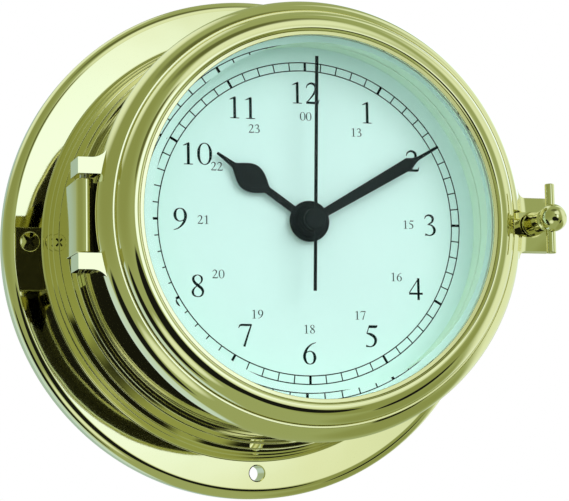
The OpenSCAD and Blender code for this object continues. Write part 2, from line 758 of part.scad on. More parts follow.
module tommy_bar() {
    chamfer = 0.3;
    color(brass) faced() translate([latch_r, bar_l / 2, bar_z]) rotate([90, 0, 0]) rotate_extrude()
        polygon([[0, 0], [bar_d / 2 - chamfer, 0], [bar_d / 2, chamfer], [bar_d / 2, bar_l - chamfer],
                 [bar_d / 2 - chamfer, bar_l], [0, bar_l]]);
}

module seconds_wheel() {
    color("ivory") faced() {
        teeth(seconds_teeth, fast_module, 0, seconds_d, wheel_t);
        pinion(seconds_pinion, slow_module, 0, third_d);
        rod([0, 0], arbor_r, face_z - third_d, second_z + hand_t);
        rod([0, 0], arbor_r, face_z - seconds_d - cut / 2, face_z - third_d);
        rod([0, 0], pivot_r, face_z - cover_d + 0.3, face_z - seconds_d);
    }
}

module third_wheel() {
    turn = in_mesh(seconds_pinion, 0, third_teeth, third_dir);
    color("ivory") faced() translate(third_pos) difference() {
        union() {
            teeth(third_teeth, slow_module, turn, third_d, wheel_t);
            pinion(third_pinion, centre_module, 0, centre_d);
            rod([0, 0], post_r + 0.5, face_z - third_d - wheel_t, face_z - movement_plate - 0.4);
        }
        rod([0, 0], post_r + run_gap, face_z - cover_d, face_z);
    }
}

module centre_wheel() {
    turn = in_mesh(third_pinion, 0, centre_teeth, third_dir + 180);
    color("ivory") faced() difference() {
        union() {
            teeth(centre_teeth, centre_module, turn, centre_d, wheel_t);
            pinion(cannon_pinion, motion_module, 0, minute_d);
            rod([0, 0], cannon_r, face_z - centre_d - wheel_t, minute_z + hand_t);
        }
        rod([0, 0], arbor_r + run_gap, face_z - cover_d, minute_z + hand_t + cut);
    }
}

module minute_wheel() {
    turn = in_mesh(cannon_pinion, 0, minute_teeth, minute_dir);
    color("ivory") faced() translate(minute_pos) difference() {
        union() {
            teeth(minute_teeth, motion_module, turn, minute_d, wheel_t);
            pinion(minute_pinion, motion_module, 0, hour_d);
            rod([0, 0], post_r + 0.8, face_z - minute_d - wheel_t, face_z - movement_plate - 0.3);
        }
        rod([0, 0], post_r + run_gap, face_z - cover_d, face_z);
    }
}

module hour_wheel() {
    turn = in_mesh(minute_pinion, 0, hour_teeth, minute_dir + 180);
    color("ivory") faced() difference() {
        union() {
            teeth(hour_teeth, motion_module, turn, hour_d, wheel_t);
            rod([0, 0], hour_tube_r, face_z - hour_d - wheel_t, hour_z + hand_t);
        }
        rod([0, 0], cannon_r + run_gap, face_z - cover_d, hour_z + hand_t + cut);
    }
}

module intermediate_wheel() {
    turn = in_mesh(seconds_teeth, 0, inter_pinion, inter_dir);
    color("ivory") faced() translate(inter_pos) difference() {
        union() {
            teeth(inter_teeth, fast_module, 0, inter_d, wheel_t);
            pinion(inter_pinion, fast_module, turn, seconds_d);
            rod([0, 0], post_r + 0.4, face_z - cover_d + 0.3, face_z - seconds_d);
        }
        rod([0, 0], post_r + run_gap, face_z - cover_d - cut, face_z);
    }
}

module rotor() {
    turn = in_mesh(inter_teeth, 0, rotor_teeth, rotor_dir);
    magnet_mid = face_z - stator_d - stator_t / 2;
    color("dimgray") faced() translate(rotor_pos) {
        pinion(rotor_teeth, fast_module, turn, inter_d);
        rod([0, 0], 3, magnet_mid - 1.4, magnet_mid + 1.4);
        rod([0, 0], pivot_r, face_z - cover_d + 0.2, face_z - stator_d + 3);
    }
}

module setting_knob() {
    minute_wheel_turn = in_mesh(cannon_pinion, 0, minute_teeth, minute_dir);
    turn = in_mesh(minute_teeth, minute_wheel_turn, setting_pinion, setting_dir);
    knob_z = face_z - cover_d - movement_plate - 0.3;
    color("ivory") faced() translate(setting_pos) {
        teeth(setting_pinion, motion_module, turn, minute_d, wheel_t);
        rod([0, 0], arbor_r, knob_z, face_z - movement_plate - 0.2);
        rod([0, 0], knob_d / 2, knob_z - 4, knob_z);
    }
}

// A flat hand pointing up, from its half width along the length, with a round hub on its tube
module hand_blank(profile, l, hub_r, bore_r, z) {
    right = [for (p = profile) [p[1], p[0] * l]];
    left = [for (i = [len(profile) - 1:-1:0]) [-profile[i][1], profile[i][0] * l]];
    translate([0, 0, z]) linear_extrude(hand_t) difference() {
        union() {
            polygon(concat(right, left));
            circle(hub_r);
        }
        circle(bore_r);
    }
}

module hour_hand() {
    profile = [for (s = [0, 0.46, 0.5, 0.54, 0.58, 0.61, 0.64, 0.67, 0.7, 0.73, 0.76, 0.79, 0.82, 1])
        [s, hour_half(s)]];
    color(paint_black) faced() rotate(-hour_turn)
        hand_blank(profile, hour_l, 6.6, hour_tube_r + seat_gap / 2, hour_z);
}

module minute_hand() {
    profile = [for (s = [0, 0.77, 0.785, 0.8, 0.815, 0.83, 0.85, 1]) [s, minute_half(s)]];
    color(paint_black) faced() rotate(-minute_turn)
        hand_blank(profile, minute_l, 4.4, cannon_r + seat_gap / 2, minute_z);
}

module second_hand() {
    cap_r = 3.5;
    cap_back = 1.8;
    color(paint_black) faced() rotate(-second_turn) difference() {
        union() {
            translate([-second_w / 2, -second_tail, second_z])
                cube([second_w, second_tail + second_l, hand_t]);
            translate([0, 0, second_z]) rotate_extrude()
                polygon(concat([[0, -cap_back], [cap_r, -cap_back]],
                               arc([cap_r - 0.5, hand_t - 0.1], 0.5, 0, 90, 4), [[0, hand_t + 0.8]]));
        }
        rod([0, 0], arbor_r + seat_gap / 2, minute_z, second_z + hand_t + 0.1);
    }
}

mounting_flange();
case_drum();
hinge_knuckle();
hinge_pin();
latch_lug();
bezel_seal();
back_cover();
back_cover_screws();
dial_plate();
dial_ring();
centre_washer();
centre_nut();
movement_case();
movement_cover();
coil();
stator();
circuit_board();
quartz_can();
battery();
battery_contacts();
bezel_ring();
crystal();
crystal_gasket();
crystal_retaining_ring();
latch_collar();
thumb_screw();
tommy_bar();
seconds_wheel();
second_hand();
third_wheel();
centre_wheel();
minute_hand();
minute_wheel();
hour_wheel();
hour_hand();
intermediate_wheel();
rotor();
setting_knob();
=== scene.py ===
import math

import bmesh
import bpy
from mathutils import Matrix, Vector


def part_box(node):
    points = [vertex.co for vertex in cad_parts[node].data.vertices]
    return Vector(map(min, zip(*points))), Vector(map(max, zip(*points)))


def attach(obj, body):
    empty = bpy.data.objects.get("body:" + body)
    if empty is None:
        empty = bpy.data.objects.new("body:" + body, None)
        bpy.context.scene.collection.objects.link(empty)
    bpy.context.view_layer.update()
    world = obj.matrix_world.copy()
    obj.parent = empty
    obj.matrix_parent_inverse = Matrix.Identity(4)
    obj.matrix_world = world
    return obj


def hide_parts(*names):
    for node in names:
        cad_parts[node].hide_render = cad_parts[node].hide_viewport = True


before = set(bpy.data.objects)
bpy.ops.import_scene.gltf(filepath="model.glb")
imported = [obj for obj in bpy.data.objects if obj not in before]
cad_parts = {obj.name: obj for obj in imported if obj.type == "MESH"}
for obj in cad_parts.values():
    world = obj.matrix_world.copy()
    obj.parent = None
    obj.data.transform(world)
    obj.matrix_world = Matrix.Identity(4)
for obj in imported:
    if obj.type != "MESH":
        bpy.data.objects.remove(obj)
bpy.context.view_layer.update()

# Mounting flange: a heavy brass casting with a wide wall plate and a stepped collar round the drum's foot.
# It is turned and mirror polished, drilled for two wall screws at 12 and 6 o'clock, and countersunk for
# the two screws of its own back cover.
MM = 0.001
# Turns lathe work, which is made upright, to face the room.
FACED = Matrix.Rotation(-math.pi / 2, 4, "X")
# Radius of the circle that carries an outline round the lathe.
AXLE = 1.0 * MM
# The usual fillets at the corners of an outline, in millimetres.
SHARP = 0
BROKEN = 0.1
EASED = 0.2


class Wire:
    """A node socket that takes part in sums, and that makes the next node of its tree."""

    def __init__(self, tree, socket=None):
        self.tree = tree
        self.socket = socket

    def make(self, kind, settings=None, sockets=None, out=0):
        """Adds a node with its settings, feeds its sockets with values or wires, and gives one output."""
        node = self.tree.nodes.new(kind)
        for key, value in (settings or {}).items():
            setattr(node, key, value)
        for key, value in (sockets or {}).items():
            if isinstance(value, Wire):
                self.tree.links.new(value.socket, node.inputs[key])
            else:
                node.inputs[key].default_value = value
        return Wire(self.tree, node.outputs[out] if node.outputs else None)

    def sum(self, operation, left, right):
        return self.make("ShaderNodeMath", {"operation": operation}, {0: left, 1: right})

    def __add__(self, other):
        return self.sum("ADD", self, other)

    def __radd__(self, other):
        return self.sum("ADD", other, self)

    def __sub__(self, other):
        return self.sum("SUBTRACT", self, other)

    def __rsub__(self, other):
        return self.sum("SUBTRACT", other, self)

    def __mul__(self, other):
        return self.sum("MULTIPLY", self, other)

    def __rmul__(self, other):
        return self.sum("MULTIPLY", other, self)

    def __truediv__(self, other):
        return self.sum("DIVIDE", self, other)

    def __rtruediv__(self, other):
        return self.sum("DIVIDE", other, self)

    def __gt__(self, other):
        return self.sum("GREATER_THAN", self, other)

    def __lt__(self, other):
        return self.sum("LESS_THAN", self, other)


def reach(node):
    """A solid's lowest and highest corners as (x, depth, height) in millimetres. Depth grows from the wall
    towards the room."""
    low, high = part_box(node)
    return Vector((low.x, -high.y, low.z)) / MM, Vector((high.x, -low.y, high.z)) / MM


def add_piece(name, mesh):
    mesh.name = name
    piece = bpy.data.objects.new(name, mesh)
    bpy.context.scene.collection.objects.link(piece)
    return piece


def settle(name, work, finish):
    """A piece from worked faces, which are turned outwards and get their finish."""
    work.normal_update()
    bmesh.ops.recalc_face_normals(work, faces=work.faces)
    mesh = bpy.data.meshes.new(name)
    work.to_mesh(mesh)
    work.free()
    mesh.materials.append(finish)
    return add_piece(name, mesh)


def applied(piece):
    """The plain mesh that a piece's modifiers make of it."""
    return bpy.data.meshes.new_from_object(piece.evaluated_get(bpy.context.evaluated_depsgraph_get()))


def new_tree(name, inputs):
    """A Geometry Nodes tree with named inputs: the tree, a Wire per input, and its output socket."""
    tree = bpy.data.node_groups.new(name, "GeometryNodeTree")
    for title, kind in inputs.items():
        tree.interface.new_socket(title, in_out="INPUT", socket_type="NodeSocket" + kind)
    tree.interface.new_socket("Made", in_out="OUTPUT", socket_type="NodeSocketGeometry")
    start = tree.nodes.new("NodeGroupInput")
    end = tree.nodes.new("NodeGroupOutput")
    wires = {title: Wire(tree, start.outputs[title]) for title in inputs}
    return tree, wires, end.inputs["Made"]


def close_tree(made, end, finish):
    """The end of every tree: real faces, with their finish on them."""
    real = made.make("GeometryNodeRealizeInstances", {}, {"Geometry": made})
    dressed = real.make("GeometryNodeSetMaterial", {}, {"Geometry": real, "Material": finish})
    made.tree.links.new(dressed.socket, end)


def run_tree(tree, name, base, values):
    """A new piece that holds what the tree makes of a base mesh, as a plain mesh."""
    carrier = add_piece(name + "_carrier", base)
    modifier = carrier.modifiers.new("made", "NODES")
    modifier.node_group = tree
    for item in tree.interface.items_tree:
        if item.in_out == "INPUT" and item.name in values:
            modifier[item.identifier] = values[item.name]
    mesh = applied(carrier)
    bpy.data.objects.remove(carrier)
    return add_piece(name, mesh)


def crisp(mesh, corner=math.radians(32)):
    """Merges doubles, turns the faces outwards, and shades smooth except over real corners."""
    work = bmesh.new()
    work.from_mesh(mesh)
    bmesh.ops.remove_doubles(work, verts=work.verts, dist=0.001 * MM)
    bmesh.ops.dissolve_degenerate(work, edges=work.edges, dist=0.001 * MM)
    bmesh.ops.recalc_face_normals(work, faces=work.faces)
    for face in work.faces:
        face.smooth = True
    for edge in work.edges:
        edge.smooth = not edge.is_manifold or edge.calc_face_angle(0.0) < corner
    work.to_mesh(mesh)
    work.free()


def rounded(corners):
    """The points of a closed outline through (u, v, fillet) corners, with an arc at each fillet. A point
    close before and after an arc keeps the straight stretches straight when the outline is shaded smooth."""
    hold = 0.03
    points = []
    for i, (u, v, fillet) in enumerate(corners):
        here = Vector((u, v))
        back = (Vector(corners[i - 1][:2]) - here).normalized()
        on = (Vector(corners[(i + 1) % len(corners)][:2]) - here).normalized()
        if fillet == SHARP:
            points.append(here)
            continue
        half = back.angle(on) / 2
        run = fillet / math.tan(half)
        centre = here + (back + on).normalized() * (fillet / math.sin(half))
        sweep = math.pi - 2 * half
        turn = sweep if back.cross(on) < 0 else -sweep
        steps = max(3, round(sweep * (4 + 3 * fillet)))
        spoke = here + back * run - centre
        points.append(here + back * (run + hold))
        for k in range(steps + 1):
            points.append(centre + Matrix.Rotation(turn * k / steps, 2) @ spoke)
        points.append(here + on * (run + hold))
    return points


turning, turn_in, turn_end = new_tree("turned_on_the_lathe", {
    "Outline": "Geometry", "Steps": "Int", "Finish": "Material"})
profile = turn_in["Outline"].make("GeometryNodeMeshToCurve", {}, {"Mesh": turn_in["Outline"]})
circle = profile.make("GeometryNodeCurvePrimitiveCircle", {"mode": "RADIUS"},
                      {"Resolution": turn_in["Steps"], "Radius": AXLE})
close_tree(circle.make("GeometryNodeCurveToMesh", {}, {"Curve": circle, "Profile Curve": profile}),
           turn_end, turn_in["Finish"])


def turned(name, points, finish, steps=288, place=FACED):
    """A closed (radius, depth) outline in millimetres, turned about the clock's axis or another one."""
    outline = bpy.data.meshes.new(name + "_outline")
    count = len(points)
    outline.from_pydata([(u * MM - AXLE, v * MM, 0) for u, v in points],
                        [(i, (i + 1) % count) for i in range(count)], [])
    piece = run_tree(turning, name, outline, {"Steps": steps, "Finish": finish})
    piece.data.transform(place)
    crisp(piece.data)
    return piece


def block(name, finish, low, high):
    """A box between two corners, given as (x, depth, height) in millimetres."""
    spans = [sorted((a * MM, b * MM)) for a, b in zip(low, high)]
    work = bmesh.new()
    bmesh.ops.create_cube(work, size=1.0)
    for vert in work.verts:
        x, depth, height = [span[0] if side < 0 else span[1] for span, side in zip(spans, vert.co)]
        vert.co = (x, -depth, height)
    return settle(name, work, finish)


def combine(piece, tool, operation):
    """Cuts a piece by a tool, or joins the tool to it, and removes the tool."""
    modifier = piece.modifiers.new("tool", "BOOLEAN")
    modifier.operation = operation
    modifier.solver = "EXACT"
    modifier.object = tool
    mesh = applied(piece)
    piece.modifiers.clear()
    piece.data = mesh
    bpy.data.objects.remove(tool)
    crisp(mesh)


def faced_at(x, height):
    """The place of lathe work whose axis faces the room at this spot."""
    return Matrix.Translation((x * MM, 0, height * MM)) @ FACED


def drill(piece, finish, place, points, steps):
    """Drills a piece with a bit of this (radius, depth) outline, given from the wall side forwards."""
    outline = [(0, points[0][1])] + points + [(0, points[-1][1])]
    combine(piece, turned("bit", outline, finish, steps, place), "DIFFERENCE")


def fit(piece, body, slot, *nodes):
    """Hangs a finished piece on its body, in place of its solids. The slot, its finish's name, is not used.
    """
    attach(piece, body)
    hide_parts(*nodes)


def new_finish(name, constants):
    """A material, its shader with the values that are the same all over, and the place on the piece."""
    material = bpy.data.materials.new(name)
    material.use_nodes = True
    tree = material.node_tree
    shader = tree.nodes["Principled BSDF"]
    for socket, value in constants.items():
        shader.inputs[socket].default_value = value
    place = Wire(tree).make("ShaderNodeTexCoord", {}, {}, "Object")
    return material, shader, place


def feed(shader, **wires):
    """Links wires to the shader's sockets, whose names have _ for a space."""
    for socket, wire in wires.items():
        wire.tree.links.new(wire.socket, shader.inputs[socket.replace("_", " ")])


def grain(place, scale, detail=2.0, stretch=(1, 1, 1)):
    """Noise from 0 to 1 with so many cells to the metre, drawn out by the stretch."""
    spot = place.make("ShaderNodeMapping", {}, {"Vector": place, "Scale": stretch})
    return spot.make("ShaderNodeTexNoise", {}, {"Vector": spot, "Scale": scale, "Detail": detail})


def tint(share, first, second):
    """A colour between two others."""
    return share.make("ShaderNodeMix", {"data_type": "RGBA"}, {0: share, 6: first, 7: second}, 2)


def bumped(height, depth):
    """A normal raised by a height of so many millimetres."""
    return height.make("ShaderNodeBump", {}, {"Height": height, "Distance": depth * MM, "Strength": 1.0})


def polished_brass():
    gold = (0.86, 0.80, 0.45, 1)
    green_gold = (0.81, 0.80, 0.46, 1)
    finish, shader, place = new_finish("polished_brass", {"Metallic": 1.0, "Coat Roughness": 0.02})
    cloud = grain(place, 28, 3)
    haze = grain(place, 900, 4)
    swell = grain(place, 55, 1)
    feed(shader, Base_Color=tint(cloud, gold, green_gold), Roughness=0.025 + 0.04 * haze * haze,
         Coat_Weight=0.15 + 0.2 * cloud, Normal=bumped(swell, 0.05))
    return finish


brass = polished_brass()
# The least gap or overlap of two faces, and how far a cutting tool runs past what it cuts.
hair = 0.05
beyond = 1.0
flange_r = reach("mounting_flange")[1].x
drum_r = reach("case_drum")[1].x
foot_r = drum_r + hair
plate_t = 8.6
edge_round = 3.6
collar_r = 74.2
collar_lines = ((73.2, 12.4), (72.2, 15.2))
line_in = 0.3
line_up = 0.1
collar_top = 71.0
collar_d = 19.8
upper_r = 70.7
upper_draft = 1.4
upper_d = 25.8
step_r = 68.8
step_draft = 0.7
step_d = reach("mounting_flange")[1].y
cover_r = 69.8
arm_x = 85.2
arm_half = 6.5
cover_gap = 0.1
recess_r = cover_r + cover_gap
recess_d = 2.6
hole_at = 78.7
hole_r = 2.65
hole_break = 0.4
screw_r = 1.75
head_r = 3.5
hole_steps = 64

line_corners = []
for line_r, line_d in collar_lines:
    line_corners += [(line_r, line_d, 0.15), (line_r - line_in, line_d + line_up, BROKEN)]
flange = turned("mounting_flange_polished", rounded([
    (foot_r, recess_d, EASED), (recess_r, recess_d, SHARP), (recess_r, 0, EASED), (flange_r, 0, 0.8),
    (flange_r, plate_t, edge_round), (collar_r, plate_t, 0.8), *line_corners,
    (collar_top, collar_d, 0.12), (upper_r, collar_d, 0.05), (upper_r - upper_draft, upper_d, EASED),
    (step_r, upper_d, 0.15), (step_r - step_draft, step_d, 0.3), (foot_r, step_d, BROKEN)]), brass)
for side in (-1, 1):
    arm_recess = block("arm_recess", brass, (side * (foot_r - beyond), -beyond, -arm_half - cover_gap),
                       (side * (arm_x + cover_gap), recess_d + hair, arm_half + cover_gap))
    combine(flange, arm_recess, "DIFFERENCE")
    drill(flange, brass, faced_at(0, side * hole_at), [
        (hole_r, -beyond), (hole_r, plate_t + hair - hole_break), (hole_r + hole_break, plate_t + hair),
        (hole_r + hole_break, plate_t + beyond)], hole_steps)
    drill(flange, brass, faced_at(side * hole_at, 0), [
        (screw_r, -beyond), (screw_r, plate_t + screw_r - head_r), (head_r + beyond, plate_t + beyond)],
        hole_steps)
fit(flange, "case", "polished_brass", "mounting_flange")

# Case drum: a brass tube sweated into the flange, which holds the movement and the dial.
# Its front face has a groove for the bezel's seal, and a ledge inside carries the dial plate.
drum_wall = 3.4
inner_r = drum_r - drum_wall
front_d = reach("case_drum")[1].y
face_d = reach("dial_plate")[0].y
seat_r = 60.0
ledge_r = 55.0
ledge_t = 4.0
ledge_foot = 8.3
seal_r = (drum_r + seat_r) / 2
seal_half = 1.1
seal_deep = 1.6
drum = turned("case_drum_polished", rounded([
    (inner_r, recess_d, EASED), (drum_r, recess_d, BROKEN), (drum_r, front_d, 0.4),
    (seal_r + seal_half, front_d, BROKEN), (seal_r + seal_half, front_d - seal_deep, BROKEN),
    (seal_r - seal_half, front_d - seal_deep, BROKEN), (seal_r - seal_half, front_d, BROKEN),
    (seat_r, front_d, EASED), (seat_r, face_d, SHARP), (ledge_r, face_d, EASED),
    (ledge_r, face_d - ledge_t, EASED), (inner_r, face_d - ledge_foot, SHARP)]), brass)
fit(drum, "case", "polished_brass", "case_drum")

# Hinge knuckle and pin: a brass block brazed to the drum, with a rounded nose that carries a steel pin.
# The pin is pressed through the knuckle and stands out above and below it for the bezel's two ears.
# The knuckle's faces toward the drum and the wall, and its foot by the drum, carry painted shade.
def arc(centre, radius, first, last, count):
    """Points along an arc, from one angle to another."""
    turns = [first + (last - first) * k / count for k in range(count + 1)]
    return [centre + radius * Vector((math.cos(turn), math.sin(turn))) for turn in turns]


def upright(name, points, finish, low, high):
    """A closed (x, depth) outline in millimetres, drawn up from one height to another."""
    work = bmesh.new()
    foot = work.faces.new([work.verts.new((x * MM, -depth * MM, low * MM)) for x, depth in points])
    lifted = bmesh.ops.extrude_face_region(work, geom=[foot])["geom"]
    bmesh.ops.translate(work, vec=(0, 0, (high - low) * MM),
                        verts=[v for v in lifted if isinstance(v, bmesh.types.BMVert)])
    return settle(name, work, finish)


def soften(piece, width, corner=math.radians(40)):
    """Breaks the sharp edges of a piece with a small round, as polishing does."""
    work = bmesh.new()
    work.from_mesh(piece.data)
    bmesh.ops.remove_doubles(work, verts=work.verts, dist=0.002 * MM)
    bmesh.ops.dissolve_limit(work, angle_limit=math.radians(0.5), verts=work.verts, edges=work.edges)
    bmesh.ops.recalc_face_normals(work, faces=work.faces)
    for face in work.faces:
        face.smooth = True
    work.to_mesh(piece.data)
    work.free()
    bevel = piece.modifiers.new("softened", "BEVEL")
    bevel.width = width * MM
    bevel.segments = 4
    bevel.limit_method = "ANGLE"
    bevel.angle_limit = corner
    bevel.harden_normals = True


def dark_tarnish():
    # Painted shade: a near-black brass for faces that lie between parts or in a recess.
    brown_black = (0.02, 0.018, 0.006, 1)
    brown = (0.06, 0.055, 0.02, 1)
    finish, shader, place = new_finish("dark_tarnish", {"Metallic": 0.6})
    shade_mottle = grain(place, 500, 3)
    feed(shader, Base_Color=tint(shade_mottle, brown_black, brown), Roughness=0.45 + 0.2 * shade_mottle)
    return finish


painted_shade = dark_tarnish()


def leave_dull(piece, in_shade):
    """Paints shade, as near-black brass, on the faces that a test picks out."""
    piece.data.materials.append(painted_shade)
    for face in piece.data.polygons:
        face.material_index = int(in_shade(face))


pin_low, pin_high = reach("hinge_pin")
hinge_x = (pin_low.x + pin_high.x) / 2
hinge_d = (pin_low.y + pin_high.y) / 2
pin_r = (pin_high.x - pin_low.x) / 2
pin_half = pin_high.z
knuckle_low, knuckle_high = reach("hinge_knuckle")
knuckle_r = hinge_x - knuckle_low.x
foot_front = hinge_d - 6.5
braze_in = 1.2
nose = arc(Vector((hinge_x, hinge_d)), knuckle_r, math.pi, 0, 24)
knuckle = upright("hinge_knuckle_polished", [
    (braze_in - drum_r, knuckle_low.y), (knuckle_low.x, knuckle_low.y), *nose,
    (hinge_x + knuckle_r, foot_front), (braze_in - drum_r, foot_front)], brass, knuckle_low.z, knuckle_high.z)
soften(knuckle, width=0.35)
# Painted shade on the faces toward the drum and the wall, and on the foot.
leave_dull(knuckle, lambda face: (face.normal.x > 0.5 or face.normal.y > 0.5
                                  or face.center.x > (hinge_x + knuckle_r) * MM))
fit(knuckle, "case", "polished_brass", "hinge_knuckle")


def ground_steel():
    grey = (0.56, 0.57, 0.58, 1)
    pale_grey = (0.68, 0.68, 0.67, 1)
    finish, shader, place = new_finish("ground_steel", {"Metallic": 1.0})
    lines = grain(place, 1400, 3, (1, 1, 0.06))
    cloud = grain(place, 90, 3)
    feed(shader, Base_Color=tint(cloud, grey, pale_grey), Roughness=0.2 + 0.25 * lines,
         Normal=bumped(lines, 0.004))
    return finish


def rod(name, finish, x, depth, radius, half, end_round, steps):
    """A round rod that stands upright, with rounded ends."""
    outline = rounded([(0, -half, SHARP), (radius, -half, end_round), (radius, half, end_round),
                       (0, half, SHARP)])
    place = Matrix.Translation((x * MM, -depth * MM, 0)) @ Matrix.Rotation(math.pi, 4, "X")
    return turned(name, outline, finish, steps, place)


steel = ground_steel()
pin = rod("hinge_pin_ground", steel, hinge_x, hinge_d, pin_r, pin_half, end_round=0.5, steps=48)
fit(pin, "case", "steel", "hinge_pin")

# Case latch lug: a small brass block brazed to the drum opposite the hinge, with a hole that takes the
# tip of the thumb screw.
lug_low, lug_high = reach("latch_lug")
latch_x = 75.0
tip_hole = 3.0
tip_deep = 5.5
LATCH = faced_at(latch_x, 0)
case_lug = block("latch_lug_polished", brass, (drum_r - braze_in, lug_low.y, lug_low.z), lug_high)
drill(case_lug, brass, LATCH, [(tip_hole, lug_high.y - tip_deep), (tip_hole, lug_high.y + beyond)], steps=48)
soften(case_lug, width=0.4)
fit(case_lug, "case", "polished_brass", "latch_lug")

# Bezel seal: a black rubber cord of round section, laid in the groove of the drum's front face.
# The bezel's back closes on it when the latch is done up.
def black_rubber():
    jet = (0.012, 0.012, 0.012, 1)
    grey_black = (0.03, 0.03, 0.031, 1)
    finish, shader, place = new_finish("black_rubber", {"Specular IOR Level": 0.35})
    skin = grain(place, 1600, 3)
    feed(shader, Base_Color=tint(skin, jet, grey_black), Roughness=0.55 + 0.25 * skin,
         Normal=bumped(skin, 0.02))
    return finish


rubber = black_rubber()
cord_r = 1.0
cord_proud = 0.4
cord_at = Vector((seal_r, front_d + cord_proud - cord_r))
seal = turned("bezel_seal_cord", arc(cord_at, cord_r, 0, math.tau, 24)[:-1], rubber, steps=192)
fit(seal, "case", "black_rubber", "bezel_seal")

# Movement shell: a black moulded case and cover that clip together round the wheels.
# Both are polystyrene with the fine matt grain of their mould.
def moulded_black():
    black_grey = (0.022, 0.022, 0.024, 1)
    dark_grey = (0.04, 0.04, 0.042, 1)
    finish, shader, place = new_finish("moulded_black", {})
    skin = grain(place, 2200, 4)
    flow = grain(place, 60, 2)
    feed(shader, Base_Color=tint(flow, black_grey, dark_grey), Roughness=0.45 + 0.25 * skin,
         Normal=bumped(skin, 0.015))
    return finish


def dress(finish, slot, *nodes):
    """Puts a finish on solids that keep their own shape."""
    for node in nodes:
        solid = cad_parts[node]
        solid.data.materials.clear()
        solid.data.materials.append(finish)


dress(moulded_black(), "black_plastic", "movement_case", "movement_cover")

# Motor: a coil of enamelled copper on a steel stator, round a magnet rotor on its own pinion.
# The coil is wound in close turns along the stator's upper arm.
def enamelled_copper():
    copper = (0.50, 0.17, 0.06, 1)
    bright_copper = (0.66, 0.27, 0.11, 1)
    finish, shader, place = new_finish("enamelled_copper", {"Metallic": 0.85})
    turns = place.make("ShaderNodeTexWave", {"bands_direction": "X"},
                       {"Vector": place, "Scale": 800, "Distortion": 0.4, "Detail": 1.0})
    cloud = grain(place, 300, 2)
    feed(shader, Base_Color=tint(cloud, copper, bright_copper), Roughness=0.25 + 0.2 * turns,
         Normal=bumped(turns, 0.06))
    return finish


dress(enamelled_copper(), "copper_winding", "coil")
dress(steel, "steel", "stator", "rotor")

# Circuit board and quartz can: a small green board with its tracks, and the drawn steel can of the crystal
# that lies on it.
def green_board():
    deep_green = (0.008, 0.07, 0.028, 1)
    green = (0.01, 0.085, 0.034, 1)
    track_green = (0.02, 0.16, 0.06, 1)
    finish, shader, place = new_finish("green_board", {"Coat Roughness": 0.15})
    face = place.make("ShaderNodeMapping", {}, {"Vector": place, "Rotation": (math.pi / 2, 0, 0)})
    tracks = face.make("ShaderNodeTexBrick", {"offset": 0.5}, {
        "Vector": face, "Color1": deep_green, "Color2": green, "Mortar": track_green, "Scale": 300.0,
        "Mortar Size": 0.06})
    lacquer = grain(place, 1500, 2)
    feed(shader, Base_Color=tracks, Roughness=0.3 + 0.15 * lacquer, Coat_Weight=0.3 + 0.2 * lacquer,
         Normal=bumped(lacquer, 0.01))
    return finish


dress(green_board(), "green_board", "circuit_board")
dress(steel, "steel", "quartz_can")

# Battery and its contacts: one plain pen cell in a printed sleeve, between two plated steel leaves.
# The sleeve is black, with a copper-coloured band at one end.
def battery_sleeve():
    sleeve_black = (0.018, 0.02, 0.022, 1)
    band_copper = (0.42, 0.25, 0.08, 1)
    band_from = 15.0 * MM
    finish, shader, place = new_finish("battery_sleeve", {"Coat Roughness": 0.1})
    along = place.make("ShaderNodeSeparateXYZ", {}, {"Vector": place}, "X")
    print_dots = grain(place, 2500, 1)
    feed(shader, Base_Color=tint(along > band_from, sleeve_black, band_copper),
         Roughness=0.25 + 0.1 * print_dots, Coat_Weight=0.5 + 0.2 * print_dots,
         Normal=bumped(print_dots, 0.005))
    return finish


dress(battery_sleeve(), "battery_sleeve", "battery")
dress(steel, "steel", "battery_contacts")

# Wheel train and setting knob: moulded ivory wheels with their pinions and tubes, from the seconds wheel to
# the hour wheel, and the knob at the back that turns the hands.
def moulded_ivory():
    ivory = (0.60, 0.55, 0.42, 1)
    pale_ivory = (0.68, 0.64, 0.52, 1)
    finish, shader, place = new_finish("moulded_ivory", {"Subsurface Weight": 0.1})
    flow = grain(place, 120, 3)
    skin = grain(place, 2600, 2)
    feed(shader, Base_Color=tint(flow, ivory, pale_ivory), Roughness=0.35 + 0.2 * skin,
         Normal=bumped(skin, 0.006))
    return finish


dress(moulded_ivory(), "ivory_plastic", "seconds_wheel", "third_wheel", "centre_wheel", "minute_wheel",
      "hour_wheel", "intermediate_wheel", "setting_knob")

# Back cover: a flat brass disc with two arms, let into the flange's back and held by two screws that come
# through the flange from the front. Its face is brushed, not polished.
def brushed_brass():
    dull_gold = (0.70, 0.58, 0.27, 1)
    bright_gold = (0.78, 0.66, 0.33, 1)
    finish, shader, place = new_finish("brushed_brass", {"Metallic": 1.0})
    lines = grain(place, 700, 4, (0.04, 1, 1))
    cloud = grain(place, 30, 3)
    feed(shader, Base_Color=tint(cloud, dull_gold, bright_gold), Roughness=0.22 + 0.22 * lines,
         Normal=bumped(lines, 0.012))
    return finish


cover_near = 0.6
cover_far = recess_d
cover_brass = brushed_brass()
cover = turned("back_cover_brushed", rounded([
    (0, cover_near, SHARP), (cover_r, cover_near, 0.4), (cover_r, cover_far, EASED), (0, cover_far, SHARP)]),
    cover_brass)
arms = block("arms", cover_brass, (-arm_x, cover_near, -arm_half), (arm_x, cover_far, arm_half))
combine(cover, arms, "UNION")
for side in (-1, 1):
    drill(cover, cover_brass, faced_at(side * hole_at, 0),
          [(screw_r, -beyond), (screw_r, cover_far + beyond)], steps=48)
fit(cover, "case", "polished_brass", "back_cover")
